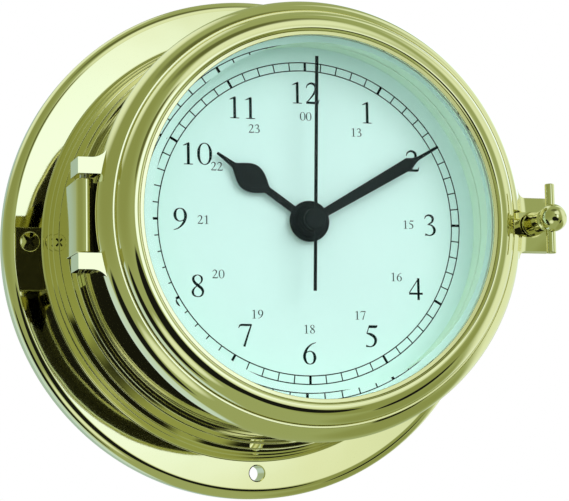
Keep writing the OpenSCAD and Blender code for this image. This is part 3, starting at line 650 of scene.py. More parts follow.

# Cover screws: two brass screws with raised countersunk heads and a cross recess, driven through the flange
# into the arms of the back cover. The cross recess is painted dark as shade.
stem_r = 1.65
stem_end = 0.7
rim_r = 3.4
rim_in = 0.15
rim_up = 0.22
crown_r = 1.2
crown_up = 0.3
cross_w = 0.75
cross_l = 4.1
cross_deep = 1.1
screw = turned("cover_screw", rounded([
    (0, stem_end, SHARP), (stem_r, stem_end, EASED), (stem_r, plate_t + stem_r - rim_r, SHARP),
    (rim_r, plate_t - hair, 0.08), (rim_r - rim_in, plate_t + rim_up, BROKEN),
    (crown_r, plate_t + crown_up, BROKEN), (0, plate_t + crown_up, SHARP)]), brass, hole_steps)
for turn in (math.radians(45), math.radians(135)):
    wing = block("wing", brass, (-cross_l / 2, plate_t - cross_deep, -cross_w / 2),
                 (cross_l / 2, plate_t + beyond, cross_w / 2))
    wing.data.transform(Matrix.Rotation(turn, 4, "Y"))
    combine(screw, wing, "DIFFERENCE")
pair, pair_in, pair_end = new_tree("screw_pair", {
    "Screw": "Geometry", "Apart": "Float", "Finish": "Material"})
both = pair_in["Screw"].make("GeometryNodeMeshLine", {"mode": "END_POINTS"}, {"Count": 2})
screw_x = both.make("GeometryNodeInputIndex") * pair_in["Apart"] - pair_in["Apart"] / 2
screw_spots = both.make("GeometryNodeSetPosition", {}, {
    "Geometry": both, "Position": screw_x.make("ShaderNodeCombineXYZ", {}, {"X": screw_x})})
close_tree(screw_spots.make("GeometryNodeInstanceOnPoints", {},
                            {"Points": screw_spots, "Instance": pair_in["Screw"]}),
           pair_end, pair_in["Finish"])
cover_screws = run_tree(pair, "cover_screws_driven", screw.data, {"Apart": 2 * hole_at * MM, "Finish": brass})
bpy.data.objects.remove(screw)
crisp(cover_screws.data)


def in_cross(face):
    """Whether a face of a screw lies in its cross recess."""
    off_axis = math.hypot(abs(face.center.x) / MM - hole_at, face.center.z / MM)
    depth = -face.center.y / MM
    return off_axis < cross_l / 2 + hair and plate_t - cross_deep - hair < depth < plate_t + crown_up / 2


# Painted shade in the cross recess.
leave_dull(cover_screws, in_cross)
fit(cover_screws, "case", "polished_brass", "back_cover_screws")

# Dial plate: a thin disc painted a cool satin white, with a hole in the middle for the movement's boss.
# It lies on the drum's ledge, and the dial ring holds down its edge.
def satin_paint(name, first, second):
    finish, shader, place = new_finish(name, {"Specular IOR Level": 0.2})
    peel = grain(place, 1100, 3)
    cloud = grain(place, 14, 2)
    feed(shader, Base_Color=tint(cloud, first, second), Roughness=0.42 + 0.12 * peel,
         Normal=bumped(peel, 0.004))
    return finish


white = satin_paint("dial_white", (0.65, 0.90, 0.86, 1), (0.70, 0.94, 0.90, 1))
dial_r = reach("dial_plate")[1].x
dial_d = reach("dial_plate")[1].y
boss_r = 4.1
dial = turned("dial_plate_painted", rounded([
    (boss_r, face_d, SHARP), (dial_r, face_d, BROKEN), (dial_r, dial_d, 0.15), (boss_r, dial_d, SHARP)]),
    white)
fit(dial, "case", "white_paint", "dial_plate")

# Minute track: two fine rings with sixty strokes between them, printed on the dial in one colour.
# Every fifth stroke is heavy and marks an hour.
def printing_ink():
    full_ink = (0.004, 0.013, 0.011, 1)
    thin_ink = (0.008, 0.020, 0.018, 1)
    finish, shader, place = new_finish("printing_ink", {"Specular IOR Level": 0.05})
    film = grain(place, 2600, 2)
    feed(shader, Base_Color=tint(film, full_ink, thin_ink), Roughness=0.45 + 0.2 * film)
    return finish


ink = printing_ink()
ink_t = 0.04
ink_d = dial_d + ink_t
track_in = 49.3
track_out = 52.0
line_w = 0.34
ring_steps = 240
track, track_at, track_end = new_tree("minute_track", {
    "Base": "Geometry", "Count": "Int", "Inner": "Float", "Outer": "Float", "Stroke": "Float",
    "Line": "Float", "Depth": "Float", "Ink": "Float", "Finish": "Material"})
step = track_at["Base"].make("GeometryNodeInputIndex") * math.tau / track_at["Count"]
middle = (track_at["Inner"] + track_at["Outer"]) / 2
stroke_at = step.make("ShaderNodeCombineXYZ", {}, {
    "X": middle * step.make("ShaderNodeMath", {"operation": "SINE"}, {0: step}), "Y": 0 - track_at["Depth"],
    "Z": middle * step.make("ShaderNodeMath", {"operation": "COSINE"}, {0: step})})
stroke = step.make("GeometryNodeMeshCube", {}, {"Size": step.make("ShaderNodeCombineXYZ", {}, {
    "X": track_at["Stroke"], "Y": track_at["Ink"], "Z": track_at["Outer"] - track_at["Inner"]})})
stroke_points = step.make("GeometryNodePoints", {}, {"Count": track_at["Count"], "Position": stroke_at})
strokes = stroke_points.make("GeometryNodeInstanceOnPoints", {}, {
    "Points": stroke_points, "Instance": stroke,
    "Rotation": step.make("ShaderNodeCombineXYZ", {}, {"Y": step})})
printed = [strokes]
for edge in ("Inner", "Outer"):
    hoop = step.make("GeometryNodeCurvePrimitiveCircle", {"mode": "RADIUS"},
                     {"Resolution": ring_steps, "Radius": track_at[edge]})
    nib = step.make("GeometryNodeCurvePrimitiveQuadrilateral", {"mode": "RECTANGLE"},
                    {"Width": track_at["Line"], "Height": track_at["Ink"]})
    ring = hoop.make("GeometryNodeCurveToMesh", {}, {"Curve": hoop, "Profile Curve": nib})
    printed.append(ring.make("GeometryNodeTransform", {}, {
        "Geometry": ring, "Rotation": (-math.pi / 2, 0, 0),
        "Translation": step.make("ShaderNodeCombineXYZ", {}, {"Y": 0 - track_at["Depth"]})}))
whole = step.make("GeometryNodeJoinGeometry")
for part in printed:
    track.links.new(part.socket, whole.socket.node.inputs[0])
close_tree(whole, track_end, track_at["Finish"])
for name, count, stroke_w in (("minute_track_printed", 60, 0.36), ("hour_strokes_printed", 12, 0.8)):
    marks = run_tree(track, name, bpy.data.meshes.new(name + "_base"), {
        "Count": count, "Inner": track_in * MM, "Outer": track_out * MM, "Stroke": stroke_w * MM,
        "Line": line_w * MM, "Depth": (dial_d + ink_d) / 2 * MM, "Ink": ink_t * MM, "Finish": ink})
    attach(marks, "case")

# Hour numerals: 1 to 12 in an upright roman face, with the small hours 13 to 00 inside them, printed in the
# same ink. Each figure is drawn with a broad pen: a path with the pen's width at every point of it.
FIGURES = {
    "0": [[(0.37, 0.984, 0.035), (0.20, 0.90, 0.07), (0.11, 0.70, 0.115), (0.095, 0.5, 0.13),
           (0.11, 0.30, 0.115), (0.20, 0.10, 0.07), (0.37, 0.016, 0.035), (0.54, 0.10, 0.07),
           (0.63, 0.30, 0.115), (0.645, 0.5, 0.13), (0.63, 0.70, 0.115), (0.54, 0.90, 0.07),
           (0.37, 0.984, 0.035)]],
    "1": [[(0.36, 0.0, 0.125), (0.36, 0.5, 0.125), (0.36, 0.97, 0.125)],
          [(0.13, 0.86, 0.03), (0.25, 0.905, 0.06), (0.40, 0.985, 0.05)],
          [(0.15, 0.016, 0.032), (0.36, 0.02, 0.045), (0.57, 0.016, 0.032)]],
    "2": [[(0.05, 0.73, 0.03), (0.11, 0.87, 0.06), (0.28, 0.955, 0.09), (0.46, 0.88, 0.12),
           (0.505, 0.71, 0.125), (0.42, 0.50, 0.09), (0.25, 0.27, 0.06), (0.07, 0.07, 0.05)],
          [(0.04, 0.055, 0.11), (0.30, 0.055, 0.11), (0.57, 0.058, 0.11), (0.62, 0.12, 0.06),
           (0.665, 0.21, 0.025)]],
    "3": [[(0.07, 0.79, 0.03), (0.14, 0.91, 0.06), (0.28, 0.96, 0.08), (0.43, 0.90, 0.11),
           (0.475, 0.77, 0.115), (0.41, 0.63, 0.08), (0.22, 0.525, 0.035)],
          [(0.22, 0.525, 0.035), (0.42, 0.485, 0.07), (0.545, 0.31, 0.13), (0.50, 0.12, 0.10),
           (0.34, 0.025, 0.05), (0.20, 0.04, 0.06), (0.09, 0.065, 0.11)]],
    "4": [[(0.485, 0.0, 0.115), (0.485, 0.5, 0.115), (0.485, 1.0, 0.115)],
          [(0.50, 0.985, 0.045), (0.27, 0.66, 0.045), (0.045, 0.335, 0.045)],
          [(0.03, 0.29, 0.095), (0.35, 0.29, 0.095), (0.69, 0.29, 0.095)]],
    "5": [[(0.22, 0.93, 0.125), (0.38, 0.93, 0.125), (0.56, 0.935, 0.115), (0.62, 1.0, 0.02)],
          [(0.235, 0.96, 0.04), (0.18, 0.80, 0.04), (0.12, 0.62, 0.05)],
          [(0.11, 0.625, 0.04), (0.30, 0.58, 0.12), (0.48, 0.46, 0.13), (0.535, 0.29, 0.13),
           (0.46, 0.11, 0.09), (0.31, 0.025, 0.05), (0.18, 0.035, 0.06), (0.07, 0.055, 0.10)]],
    "6": [[(0.66, 0.985, 0.03), (0.44, 0.90, 0.055), (0.23, 0.70, 0.10), (0.125, 0.45, 0.13),
           (0.125, 0.26, 0.13), (0.21, 0.08, 0.08), (0.37, 0.016, 0.035), (0.53, 0.09, 0.08),
           (0.60, 0.28, 0.13), (0.56, 0.47, 0.11), (0.43, 0.585, 0.05), (0.28, 0.575, 0.04),
           (0.15, 0.48, 0.03)]],
    "7": [[(0.03, 0.82, 0.025), (0.07, 0.89, 0.05), (0.14, 0.95, 0.09), (0.40, 0.95, 0.10),
           (0.64, 0.955, 0.09)],
          [(0.625, 0.97, 0.06), (0.47, 0.55, 0.08), (0.285, -0.01, 0.10)]],
    "8": [[(0.36, 0.984, 0.035), (0.20, 0.92, 0.08), (0.15, 0.79, 0.11), (0.22, 0.64, 0.12),
           (0.38, 0.51, 0.13), (0.54, 0.37, 0.12), (0.59, 0.22, 0.10), (0.52, 0.07, 0.07),
           (0.36, 0.016, 0.035), (0.18, 0.08, 0.08), (0.125, 0.23, 0.11), (0.20, 0.39, 0.06),
           (0.36, 0.53, 0.04), (0.50, 0.65, 0.06), (0.55, 0.80, 0.09), (0.50, 0.92, 0.07),
           (0.36, 0.984, 0.035)]]}
FIGURE_W = 0.74
FIGURES["9"] = [[(FIGURE_W - x, 1 - y, w) for x, y, w in path] for path in FIGURES["6"]]


def pen_stroke(work, path, at, tall):
    """One pen stroke as a thin solid, along a smooth curve through its points."""
    spots = [Vector(p) for p in path]
    if path[0] == path[-1]:
        ends = [spots[-2]] + spots + [spots[1]]
    else:
        ends = [2 * spots[0] - spots[1]] + spots + [2 * spots[-1] - spots[-2]]
    line = []
    for a, b, c, d in zip(ends, ends[1:], ends[2:], ends[3:]):
        for t in (0.0, 0.2, 0.4, 0.6, 0.8):
            line.append(0.5 * (2 * b + (c - a) * t + (2 * a - 5 * b + 4 * c - d) * t * t
                               + (3 * b - a - 3 * c + d) * t ** 3))
    line.append(spots[-1])
    rings = []
    for k, p in enumerate(line):
        along = (line[min(k + 1, len(line) - 1)] - line[max(k - 1, 0)]).to_2d().normalized()
        nib = Vector((-along.y, along.x)) * p.z / 2
        left = (p.to_2d() + nib) * tall + at
        right = (p.to_2d() - nib) * tall + at
        corners = ((left, dial_d), (right, dial_d), (right, ink_d), (left, ink_d))
        rings.append([work.verts.new((q.x * MM, -depth * MM, q.y * MM)) for q, depth in corners])
    for one, two in zip(rings, rings[1:]):
        for k in range(4):
            work.faces.new((one[k], one[k - 1], two[k - 1], two[k]))
    work.faces.new(rings[0])
    work.faces.new(rings[-1][::-1])


def print_numerals(name, labels, radius, tall):
    """A ring of numerals, with the label of each hour centred on its place."""
    work = bmesh.new()
    for hour, label in labels:
        turn = math.tau * hour / 12
        corner = Vector((math.sin(turn), math.cos(turn))) * radius
        corner -= Vector((len(label) * FIGURE_W, 1)) * tall / 2
        for figure in label:
            for path in FIGURES[figure]:
                pen_stroke(work, path, corner, tall)
            corner.x += FIGURE_W * tall
    numerals = settle(name, work, ink)
    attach(numerals, "case")


hours_r = 42.1
hours_tall = 7.1
small_r = 34.4
small_tall = 2.75
hours = [(hour, str(hour)) for hour in range(1, 13)]
small_hours = [(hour, f"{(hour + 12) % 24:02d}") for hour in range(1, 13)]
print_numerals("hour_numerals_printed", hours, hours_r, hours_tall)
print_numerals("small_hours_printed", small_hours, small_r, small_tall)

# Dial ring: a white painted sleeve that stands on the dial's edge and hides the drum's inner wall.
# It fits in the drum's seat, and its white paint is tinted green as a painted reflection of the brass.
ring_white_painted_reflection = satin_paint("ring_white_painted_reflection", (0.70, 0.96, 0.74, 1), (0.76, 0.97, 0.79, 1))
ring_in = 57.1
ring_front = reach("dial_ring")[1].y
dial_ring = turned("dial_ring_painted", rounded([
    (ring_in, dial_d, SHARP), (dial_r, dial_d, SHARP), (dial_r, ring_front, EASED),
    (ring_in, ring_front, 0.3)]), ring_white_painted_reflection)
fit(dial_ring, "case", "white_paint", "dial_ring")

# Centre washer and nut: a thin brass washer and a hexagon nut that hold the movement's boss to the dial.
# The hour hand hides both.
dress(cover_brass, "polished_brass", "centre_washer", "centre_nut")

# Hour hand: a spade hand stamped from brass sheet and painted satin black.
# Its hub is a flat disc with a low boss, pressed on the hour wheel's tube.
def hand_black():
    black_green = (0.003, 0.008, 0.007, 1)
    grey_green = (0.006, 0.013, 0.012, 1)
    finish, shader, place = new_finish("hand_black", {"Specular IOR Level": 0.1})
    flecks = grain(place, 1800, 3)
    cloud = grain(place, 80, 2)
    feed(shader, Base_Color=tint(cloud, black_green, grey_green), Roughness=0.36 + 0.2 * flecks,
         Normal=bumped(flecks, 0.006))
    return finish


def plan(name, points, finish, near, far):
    """A closed (x, height) outline in millimetres, drawn out from one depth to another."""
    piece = upright(name, points, finish, near, far)
    piece.data.transform(Matrix(((1, 0, 0, 0), (0, 0, -1, 0), (0, -1, 0, 0), (0, 0, 0, 1))))
    crisp(piece.data)
    return piece


black = hand_black()
hand_t = 0.6
hub_steps = 128


def flat_hand(name, half_width, start, length, turn, near):
    """A flat hand from its half width along the length, turned clockwise from 12, at a depth."""
    count = 90
    stations = [start + (length - start) * k / count for k in range(count + 1)]
    right = [(half_width(s / length), s) for s in stations]
    left = [(-u, s) for u, s in reversed(right)]
    hand = plan(name, right + left, black, near, near + hand_t)
    hand.data.transform(Matrix.Rotation(turn, 4, "Y"))
    return hand


def spade(s):
    stem, shoulder, tip = 1.15, 0.9, 0.35
    foot, peak, end = 0.46, 0.64, 0.82
    bulb = 4.5
    if s < foot:
        return stem
    if s < peak:
        return stem + (bulb - stem) * math.sin(math.pi / 2 * (s - foot) / (peak - foot))
    if s < end:
        return shoulder + (bulb - shoulder) * math.cos(math.pi / 2 * (s - peak) / (end - peak)) ** 1.1
    return shoulder + (tip - shoulder) * (s - end) / (1 - end)


hour_d = 71.25
hour_front = hour_d + hand_t
hour_boss = hour_front + 0.5
tube_r = 2.95
hour_hub_r = 6.6
hour_boss_r = 5.2
boss_draft = 0.2
hour_root = 4.0
hour_l = 36.9
hour_turn = math.radians(305)
hour_hand = flat_hand("hour_hand_painted", spade, hour_root, hour_l, hour_turn, hour_d)
hour_hub = turned("hour_hub", rounded([
    (tube_r, hour_d, SHARP), (hour_hub_r, hour_d, BROKEN), (hour_hub_r, hour_front, 0.15),
    (hour_boss_r, hour_front, SHARP), (hour_boss_r - boss_draft, hour_boss, 0.15),
    (tube_r, hour_boss, SHARP)]), black, hub_steps)
combine(hour_hand, hour_hub, "UNION")
fit(hour_hand, "hour_arbor", "black_paint", "hour_hand")

# Minute hand: stamped and painted like the hour hand, widening to a shoulder and drawn out to a thin rod.
# It is pressed on the tube of the centre wheel.
def baton(s):
    foot, broad, thin, tip = 1.3, 2.05, 0.62, 0.4
    shoulder, end = 0.77, 0.85
    if s < shoulder:
        return foot + (broad - foot) * s / shoulder
    if s < end:
        return thin + (broad - thin) * (1 - (s - shoulder) / (end - shoulder)) ** 1.8
    return thin + (tip - thin) * (s - end) / (1 - end)


minute_d = 73.35
minute_back = minute_d - 0.7
minute_front = minute_d + hand_t
minute_boss = minute_front + 0.6
cannon_r = 2.05
minute_back_r = 4.0
minute_hub_r = 4.4
minute_boss_r = 3.6
minute_root = 3.0
minute_l = 50.4
minute_turn = math.radians(60)
minute_hand = flat_hand("minute_hand_painted", baton, minute_root, minute_l, minute_turn, minute_d)
minute_hub = turned("minute_hub", rounded([
    (cannon_r, minute_back, SHARP), (minute_back_r, minute_back, BROKEN), (minute_hub_r, minute_d, BROKEN),
    (minute_hub_r, minute_front, 0.15), (minute_boss_r, minute_front, SHARP),
    (minute_boss_r - boss_draft, minute_boss, 0.15), (cannon_r, minute_boss, SHARP)]), black, hub_steps)
combine(minute_hand, minute_hub, "UNION")
fit(minute_hand, "centre_arbor", "black_paint", "minute_hand")

# Second hand: a thin black strip with a long tail, under a turned cap that closes the centre.
# It is pressed on the seconds wheel's arbor.
second_d = 77.75
second_half = 0.475
cap_r = 3.5
cap_back = second_d - 1.8
cap_edge = second_d + 0.65
cap_front = second_d + 0.8
second_tail = -23.0
second_l = 52.5
second_turn = math.radians(1.5)
second_hand = flat_hand("second_hand_painted", lambda s: second_half, second_tail, second_l, second_turn,
                        second_d)
second_cap = turned("second_cap", rounded([
    (0, cap_back, SHARP), (cap_r, cap_back, EASED), (cap_r, cap_edge, 0.55), (0, cap_front, SHARP)]),
    black, hub_steps)
combine(second_hand, second_cap, "UNION")
fit(second_hand, "seconds_arbor", "black_paint", "second_hand")

# Bezel ring: a heavy turned brass ring, with a flat lip round the glass, a round shoulder, a fine groove and
# a round rim. Its back face carries painted shade. Two ears at the left turn on the hinge pin, and a lug at
# the right, which a cove blends into the rim, carries the thumb screw in a slot of the rim.
bezel_r = reach("bezel_ring")[1].z
bezel_back = 75.5
rim_round = 7.2
rim_back = 1.6
opening_r = 57.5
lip_d = 87.1
lip_front = 88.0
bead_round = 1.3
bead_at = Vector((59.9, 87.6))
crest_r = 60.3
groove_turn = math.radians(65)
groove_w = 0.55
groove_deep = 0.3
groove_lean = 0.1
shoulder_steps = 40
keeper_r = 61.6
glass_back = reach("crystal")[0].y
glass_r = 60.5

rim_at = Vector((bezel_r - rim_round, bezel_back + rim_back))
rim = arc(rim_at, rim_round, groove_turn, 0, 24)
bead = arc(bead_at, bead_round, math.pi - math.asin((lip_front - bead_at.y) / bead_round), math.pi / 2, 16)
groove_out = rim[0] - Vector((groove_lean, groove_deep))
groove_in = groove_out - Vector((groove_w, 0))
shoulder_foot = groove_in + Vector((-groove_lean, groove_deep))
shoulder_out = shoulder_foot.x - crest_r
shoulder_up = bead[-1].y - shoulder_foot.y
shoulder = []
for k in range(shoulder_steps):
    turn = math.pi / 2 * k / shoulder_steps
    shoulder.append((crest_r + shoulder_out * math.sin(turn), shoulder_foot.y + shoulder_up * math.cos(turn)))
rim_under = arc(Vector((bezel_r - rim_back, rim_at.y)), rim_back, 0, -math.pi / 2, 8)
bezel = turned("bezel_ring_polished", rounded([
    (glass_r, lip_d, BROKEN), (opening_r, lip_d, BROKEN), (opening_r, lip_front, 0.18),
    *[(u, v, SHARP) for u, v in bead + shoulder],
    (*shoulder_foot, 0.06), (*groove_in, 0.05), (*groove_out, 0.05),
    *[(u, v, SHARP) for u, v in rim + rim_under[1:]],
    (keeper_r, bezel_back, EASED), (keeper_r, glass_back, BROKEN), (glass_r, glass_back, BROKEN)]),
    brass, steps=360)
plate_front = 78.0
slot_half = 4.05
slot_x = groove_out.x
slot_clear = 0.1
bezel_top = bead_at.y + bead_round
slot = block("slot", brass, (slot_x, plate_front - slot_clear, -slot_half),
             (latch_x, bezel_top + beyond, slot_half))
combine(bezel, slot, "DIFFERENCE")
# Painted shade on the back face, toward the wall.
shade_front = bezel_back + 0.3
leave_dull(bezel, lambda face: face.normal.y > 0.9 and -face.center.y < shade_front * MM)
fit(bezel, "bezel", "polished_brass", "bezel_ring")


def rim_fillet(height, fillet, sunk):
    """Points of the hollow that leads a straight side at this height into the rim, from the side outwards."""
    sunk_r = bezel_r - sunk
    centre = Vector((math.sqrt((sunk_r + fillet) ** 2 - (height + fillet) ** 2), height + fillet))
    points = arc(centre, fillet, -math.pi / 2, math.atan2(centre.y, centre.x) - math.pi, 12)
    return points + [2 * points[-1] - points[0]]


ear_left = -76.3
ear_right = -69.5
ear_in = 12.3
ear_out = pin_half
ear_back = 68.0
ear_front = 79.6
ear_web = 5.5
ear_sunk = 0.6
lap = 0.5
for side, name in ((1, "bezel_ear_upper"), (-1, "bezel_ear_lower")):
    web = [(-x, y * side) for x, y in rim_fillet(ear_out, ear_web, ear_sunk)]
    ear_plan = [(web[-1][0], ear_in * side), (ear_left, ear_in * side), (ear_left, ear_out * side), *web]
    ear = plan(name, ear_plan, brass, bezel_back, ear_front)
    ear_block = block("ear_block", brass, (ear_left, ear_back, ear_in * side),
                      (ear_right, bezel_back + lap, ear_out * side))
    combine(ear, ear_block, "UNION")
    soften(ear, width=0.7)
    fit(ear, "bezel", "polished_brass", "bezel_ring")

lug_end = 82.0
lug_half = 8.8
lug_near = 72.5
lug_web = 3.0
lug_sunk = 0.1
upper_web = rim_fillet(lug_half, lug_web, lug_sunk)
lower_web = [(x, -y) for x, y in reversed(upper_web)]
lug_plan = [(lug_end, -lug_half), (lug_end, lug_half), *upper_web, *lower_web]
lug = plan("bezel_lug", lug_plan, brass, bezel_back, plate_front)
lug_block = block("lug_block", brass, (bezel_r - beyond, lug_near, -lug_half),
                  (lug_end, bezel_back + lap, lug_half))
combine(lug, lug_block, "UNION")
soften(lug, width=0.4)
lug.data = applied(lug)
lug.modifiers.clear()

cove_round = 5.0
cove_rise = plate_front - hair + cove_round - rim_at.y
cove_reach = rim_round - hair + cove_round
cove_at = rim_at + Vector((math.sqrt(cove_reach ** 2 - cove_rise ** 2), cove_rise))
cove_arc = arc(cove_at, cove_round, math.pi + math.asin(cove_rise / cove_reach), 1.5 * math.pi, 12)
cove_in = cove_arc[0].x - beyond
cove_top = cove_arc[0].y
cove = turned("cove", [*cove_arc, (cove_at.x, plate_front - beyond), (cove_in, plate_front - beyond),
                       (cove_in, cove_top - beyond)], brass, steps=720)
combine(cove, plan("cove_plan", lug_plan, brass, plate_front - lap, cove_top + beyond), "INTERSECT")
cove_slot = block("cove_slot", brass, (slot_x - beyond, plate_front - beyond, -slot_half),
                  (latch_x, bezel_top, slot_half))
combine(cove, cove_slot, "DIFFERENCE")
combine(lug, cove, "UNION")
shank_r = 2.5
shank_hole = shank_r + hair
pocket_d = 75.0
pocket_r = 4.25
drill(lug, brass, LATCH, [(shank_hole, lug_near - beyond), (shank_hole, pocket_d), (pocket_r, pocket_d),
                          (pocket_r, bezel_top)], hole_steps)
fit(lug, "bezel", "polished_brass", "bezel_ring")

# Crystal: a thick disc of clear glass with a polished bevel round its face, bedded on a rubber gasket under
# the bezel's lip.
def clear_glass():
    pale_green = (0.97, 1.0, 0.99, 1)
    faint = (0.04, 0.04, 0.04, 1)
    finish, shader, place = new_finish("clear_glass", {
        "Transmission Weight": 1.0, "IOR": 1.5, "Base Color": pale_green, "Specular Tint": faint})
    haze = grain(place, 40, 2)
    feed(shader, Roughness=0.004 * haze)
    return finish


glass = clear_glass()
crystal_r = reach("crystal")[1].x
glass_front = reach("crystal")[1].y
glass_edge = 86.6
bevel_out = 57.5
bevel_in = 55.0
crystal = turned("crystal_bevelled", rounded([
    (0, glass_back, SHARP), (crystal_r, glass_back, EASED), (crystal_r, glass_edge, EASED),
    (bevel_out, glass_edge, SHARP), (bevel_in, glass_front, SHARP), (0, glass_front, SHARP)]), glass)
crisp(crystal.data, math.radians(10))
crystal.visible_shadow = False
fit(crystal, "bezel", "clear_glass", "crystal")
dress(rubber, "black_rubber", "crystal_gasket")

# Crystal retaining ring: a white painted ring pressed into the bezel from behind, which holds the crystal
# against its gasket and carries on the white wall of the dial ring.
keeper_in = 57.0
keeper_out = reach("crystal_retaining_ring")[1].x
keeper_back = reach("crystal_retaining_ring")[0].y
keeper_front = glass_back - 0.06
# Its white paint carries the same green tint, a painted reflection of the brass.
keeper = turned("crystal_keeper_painted", rounded([
    (keeper_in, keeper_back, 0.3), (keeper_out, keeper_back, 0.3), (keeper_out, keeper_front, BROKEN),
    (keeper_in, keeper_front, EASED)]), ring_white_painted_reflection)
fit(keeper, "bezel", "white_paint", "crystal_retaining_ring")

# Latch: a brass thumb screw with a ball end and a tommy bar, over a loose collar that bears on the lug.
# The bar is pressed through the neck behind the ball, and the screw's tip enters the case lug.
latch_steps = 96
body_r = 3.85
loose_back = reach("latch_collar")[0].y
loose_front = reach("latch_collar")[1].y
loose_collar = turned("latch_collar_polished", rounded([
    (shank_hole, loose_back, SHARP), (body_r, loose_back, 0.15), (body_r, loose_front, EASED),
    (shank_hole, loose_front, SHARP)]), brass, latch_steps, LATCH)
fit(loose_collar, "latch_collar", "polished_brass", "latch_collar")

tip_d = reach("thumb_screw")[0].y
body_d = 78.8
body_edge = body_d + 1.2
waist_in = 0.5
neck_d = 90.6
neck_r = 2.6
neck_edge = 0.6
neck_lip = 0.15
ball_r = 4.45
ball_d = 94.81
foot_turn = math.asin(neck_r / ball_r) - math.pi / 2
ball = arc(Vector((0, ball_d)), ball_r, foot_turn, math.pi / 2, 32)[:-1]
# The end of the last fillet would lead back to the tip, so it makes way for the ball.
body = rounded([
    (0, tip_d, SHARP), (shank_r, tip_d, 0.6), (shank_r, body_d, SHARP), (body_r, body_d, 0.25),
    (body_r, body_edge, 0.3), (body_r - waist_in, (body_d + neck_d) / 2, 9.0),
    (body_r - neck_lip, neck_d - neck_edge, 0.5), (neck_r + EASED, neck_d + EASED, EASED)])[:-2]
thumb = turned("thumb_screw_polished", [*body, *ball, (0, ball_d + ball_r)], brass, latch_steps, LATCH)
fit(thumb, "thumb_screw", "polished_brass", "thumb_screw")

bar_r = 1.55
bar_half = reach("tommy_bar")[1].z
bar_d = 92.61
bar = rod("tommy_bar_polished", brass, latch_x, bar_d, bar_r, bar_half, end_round=0.4, steps=64)
fit(bar, "thumb_screw", "polished_brass", "tommy_bar")

# Stage: a pale floor below the clock, a soft key light from the upper right and a weaker fill from the left.
# Gloss sees a painted surround of light boxes, walls and dark screens, which gives polished brass its bands.
# The camera sees plain white paper behind the clock, through the glass as well.
def pale_floor():
    grey_white = (0.86, 0.86, 0.86, 1)
    off_white = (0.90, 0.90, 0.90, 1)
    finish, shader, place = new_finish("pale_floor", {"Specular IOR Level": 0.1})
    speck = grain(place, 60, 3)
    feed(shader, Base_Color=tint(speck, grey_white, off_white), Roughness=0.7 + 0.2 * speck)
    return finish


floor_z = -0.32
floor_half = 3.0
floor_corners = [(-floor_half, -floor_half), (floor_half, -floor_half), (floor_half, floor_half),
                 (-floor_half, floor_half)]
floor_mesh = bpy.data.meshes.new("studio_floor")
floor_mesh.from_pydata([(x, y, floor_z) for x, y in floor_corners], [], [(0, 1, 2, 3)])
floor_mesh.materials.append(pale_floor())
studio_floor = add_piece("studio_floor", floor_mesh)
studio_floor.visible_glossy = False


def soft_lamp(name, place, aim, size, power):
    lamp = bpy.data.lights.new(name, "AREA")
    lamp.shape = "DISK"
    lamp.size = size
    lamp.energy = power
    holder = bpy.data.objects.new(name, lamp)
    holder.location = place
    holder.rotation_euler = (Vector(aim) - Vector(place)).to_track_quat("-Z", "Y").to_euler()
    holder.visible_glossy = False
    bpy.context.scene.collection.objects.link(holder)


dial_centre = (0, -0.07, 0)
lamp_size = 1.3
soft_lamp("key", (0.8, -1.6, 0.75), dial_centre, lamp_size, 9.5)
soft_lamp("fill", (-1.1, -1.3, 0.2), dial_centre, lamp_size, 3.5)

world = bpy.data.worlds.new("studio")
bpy.context.scene.world = world
world.use_nodes = True
world.node_tree.nodes.clear()
sky = Wire(world.node_tree)
ray = sky.make("ShaderNodeLightPath").socket.node
camera_ray, glossy_ray, clear_ray = [Wire(world.node_tree, ray.outputs[f"Is {kind} Ray"])
                                     for kind in ("Camera", "Glossy", "Transmission")]
way = sky.make("ShaderNodeTexCoord", {}, {}, "Generated")
way_x, way_y, way_z = [way.make("ShaderNodeSeparateXYZ", {}, {"Vector": way}, axis) for axis in "XYZ"]
bearing = sky.make("ShaderNodeMath", {"operation": "ARCTAN2"}, {0: way_x, 1: 0 - way_y}) * math.degrees(1)
altitude = sky.make("ShaderNodeMath", {"operation": "ARCSINE"}, {0: way_z}) * math.degrees(1)


def step_up(wire, low, high):
    """0 below one value and 1 above another, with a soft step between them."""
    return wire.make("ShaderNodeMapRange", {"interpolation_type": "SMOOTHSTEP"},
                     {"Value": wire, "From Min": low, "From Max": high})


paper = (1.0, 1.0, 1.0, 1)
soft_light = (0.95, 1.0, 1.0, 1)
light_box = (1.1, 1.28, 1.55, 1)
pale_wall = (0.85, 0.96, 0.85, 1)
cool_wall = (0.62, 0.80, 0.90, 1)
shade_wall = (0.42, 0.56, 0.50, 1)
room = (0.36, 0.43, 0.22, 1)
olive_wall = (0.29, 0.34, 0.14, 1)
dark_wall = (0.13, 0.15, 0.06, 1)
screen = (0.010, 0.011, 0.010, 1)
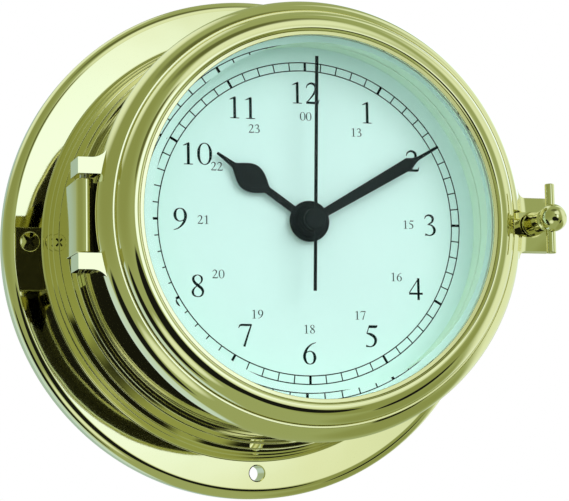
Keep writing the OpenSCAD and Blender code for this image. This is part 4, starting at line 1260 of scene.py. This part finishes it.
# Each patch has the bearing and altitude of its middle and its half width and half height, in degrees, then
# where its soft edge starts and ends, and its shade. A later patch hangs before an earlier one.
patches = (
    (-75, 25, 60, 45, 0.1, 1.2, olive_wall),
    (74, 20, 26, 36, 0.2, 1.3, pale_wall),
    (112, 40, 22, 36, 0.2, 1.3, pale_wall),
    (-145, 46, 50, 30, 0.1, 1.3, pale_wall),
    (12, 36, 24, 26, 0.2, 1.3, pale_wall),
    (-10, 58, 50, 15, 0.1, 1.3, dark_wall),
    (-3, 17, 9, 6, 0.6, 1.2, dark_wall),
    (32, -22, 28, 24, 0.3, 1.2, olive_wall),
    (95, -50, 55, 25, 0.3, 1.2, olive_wall),
    (105, -8, 52, 20, 0.3, 1.2, pale_wall),
    (-45, -42, 24, 16, 0.2, 1.3, pale_wall),
    (140, 18, 24, 16, 0.6, 1.2, light_box),
    (-146, -28, 36, 32, 0.7, 1.2, cool_wall),
    (-92, -38, 19, 26, 0.8, 1.15, screen),
    (50, -32, 8, 14, 0.7, 1.2, screen),
    (14, 4, 10, 14, 0.2, 1.3, pale_wall),
    (12, 7, 8, 8, 0.1, 1.2, light_box),
    (-12, -16, 22, 18, 0.9, 1.1, screen),
    (10, -21, 15, 12, 0.8, 1.1, screen))
mirrored = room
for aside, above, wide, tall, inner, outer, shade in patches:
    east = (bearing - aside) / wide
    north = (altitude - above) / tall
    mirrored = tint(step_up(east * east + north * north, inner, outer), shade, mirrored)
# The wall that the clock hangs on fills a cone straight behind it.
mirrored = tint(step_up(way_y, 0.95, 0.97), mirrored, shade_wall)
soft = sky.make("ShaderNodeBackground", {}, {"Color": soft_light, "Strength": 0.5})
surround = sky.make("ShaderNodeBackground", {}, {"Color": mirrored, "Strength": 1.0})
backdrop = sky.make("ShaderNodeBackground", {}, {"Color": paper, "Strength": 1.0})
lit = sky.make("ShaderNodeMixShader", {}, {0: glossy_ray, 1: soft, 2: surround})
shown = sky.make("ShaderNodeMath", {"operation": "MAXIMUM"}, {0: camera_ray, 1: clear_ray})
seen = sky.make("ShaderNodeMixShader", {}, {0: shown, 1: lit, 2: backdrop})
sky.make("ShaderNodeOutputWorld", {}, {"Surface": seen})
bpy.context.scene.view_settings.view_transform = "Standard"

# Camera: a long lens from the lower left of the dial, at the place and with the small tilt of the photograph.
# Its place and focal length were found by fitting the clock's rings to those in the photograph.
eye = Vector((-0.20215, -0.70647, -0.09163))
target = Vector((0.001625, -0.040, -0.005277))
roll = math.radians(-0.97)
focal_length = 132.87
sensor = 36.0
sight = (target - eye).normalized()
level = sight.cross(Vector((0, 0, 1))).normalized()
rise = level.cross(sight)
view_right = math.cos(roll) * level + math.sin(roll) * rise
view_up = math.cos(roll) * rise - math.sin(roll) * level
lens = bpy.data.cameras.new("camera")
lens.lens = focal_length
lens.sensor_width = sensor
camera = bpy.data.objects.new("camera", lens)
camera.matrix_world = Matrix.Translation(eye) @ Matrix((view_right, view_up, -sight)).transposed().to_4x4()
bpy.context.scene.collection.objects.link(camera)
bpy.context.scene.camera = camera
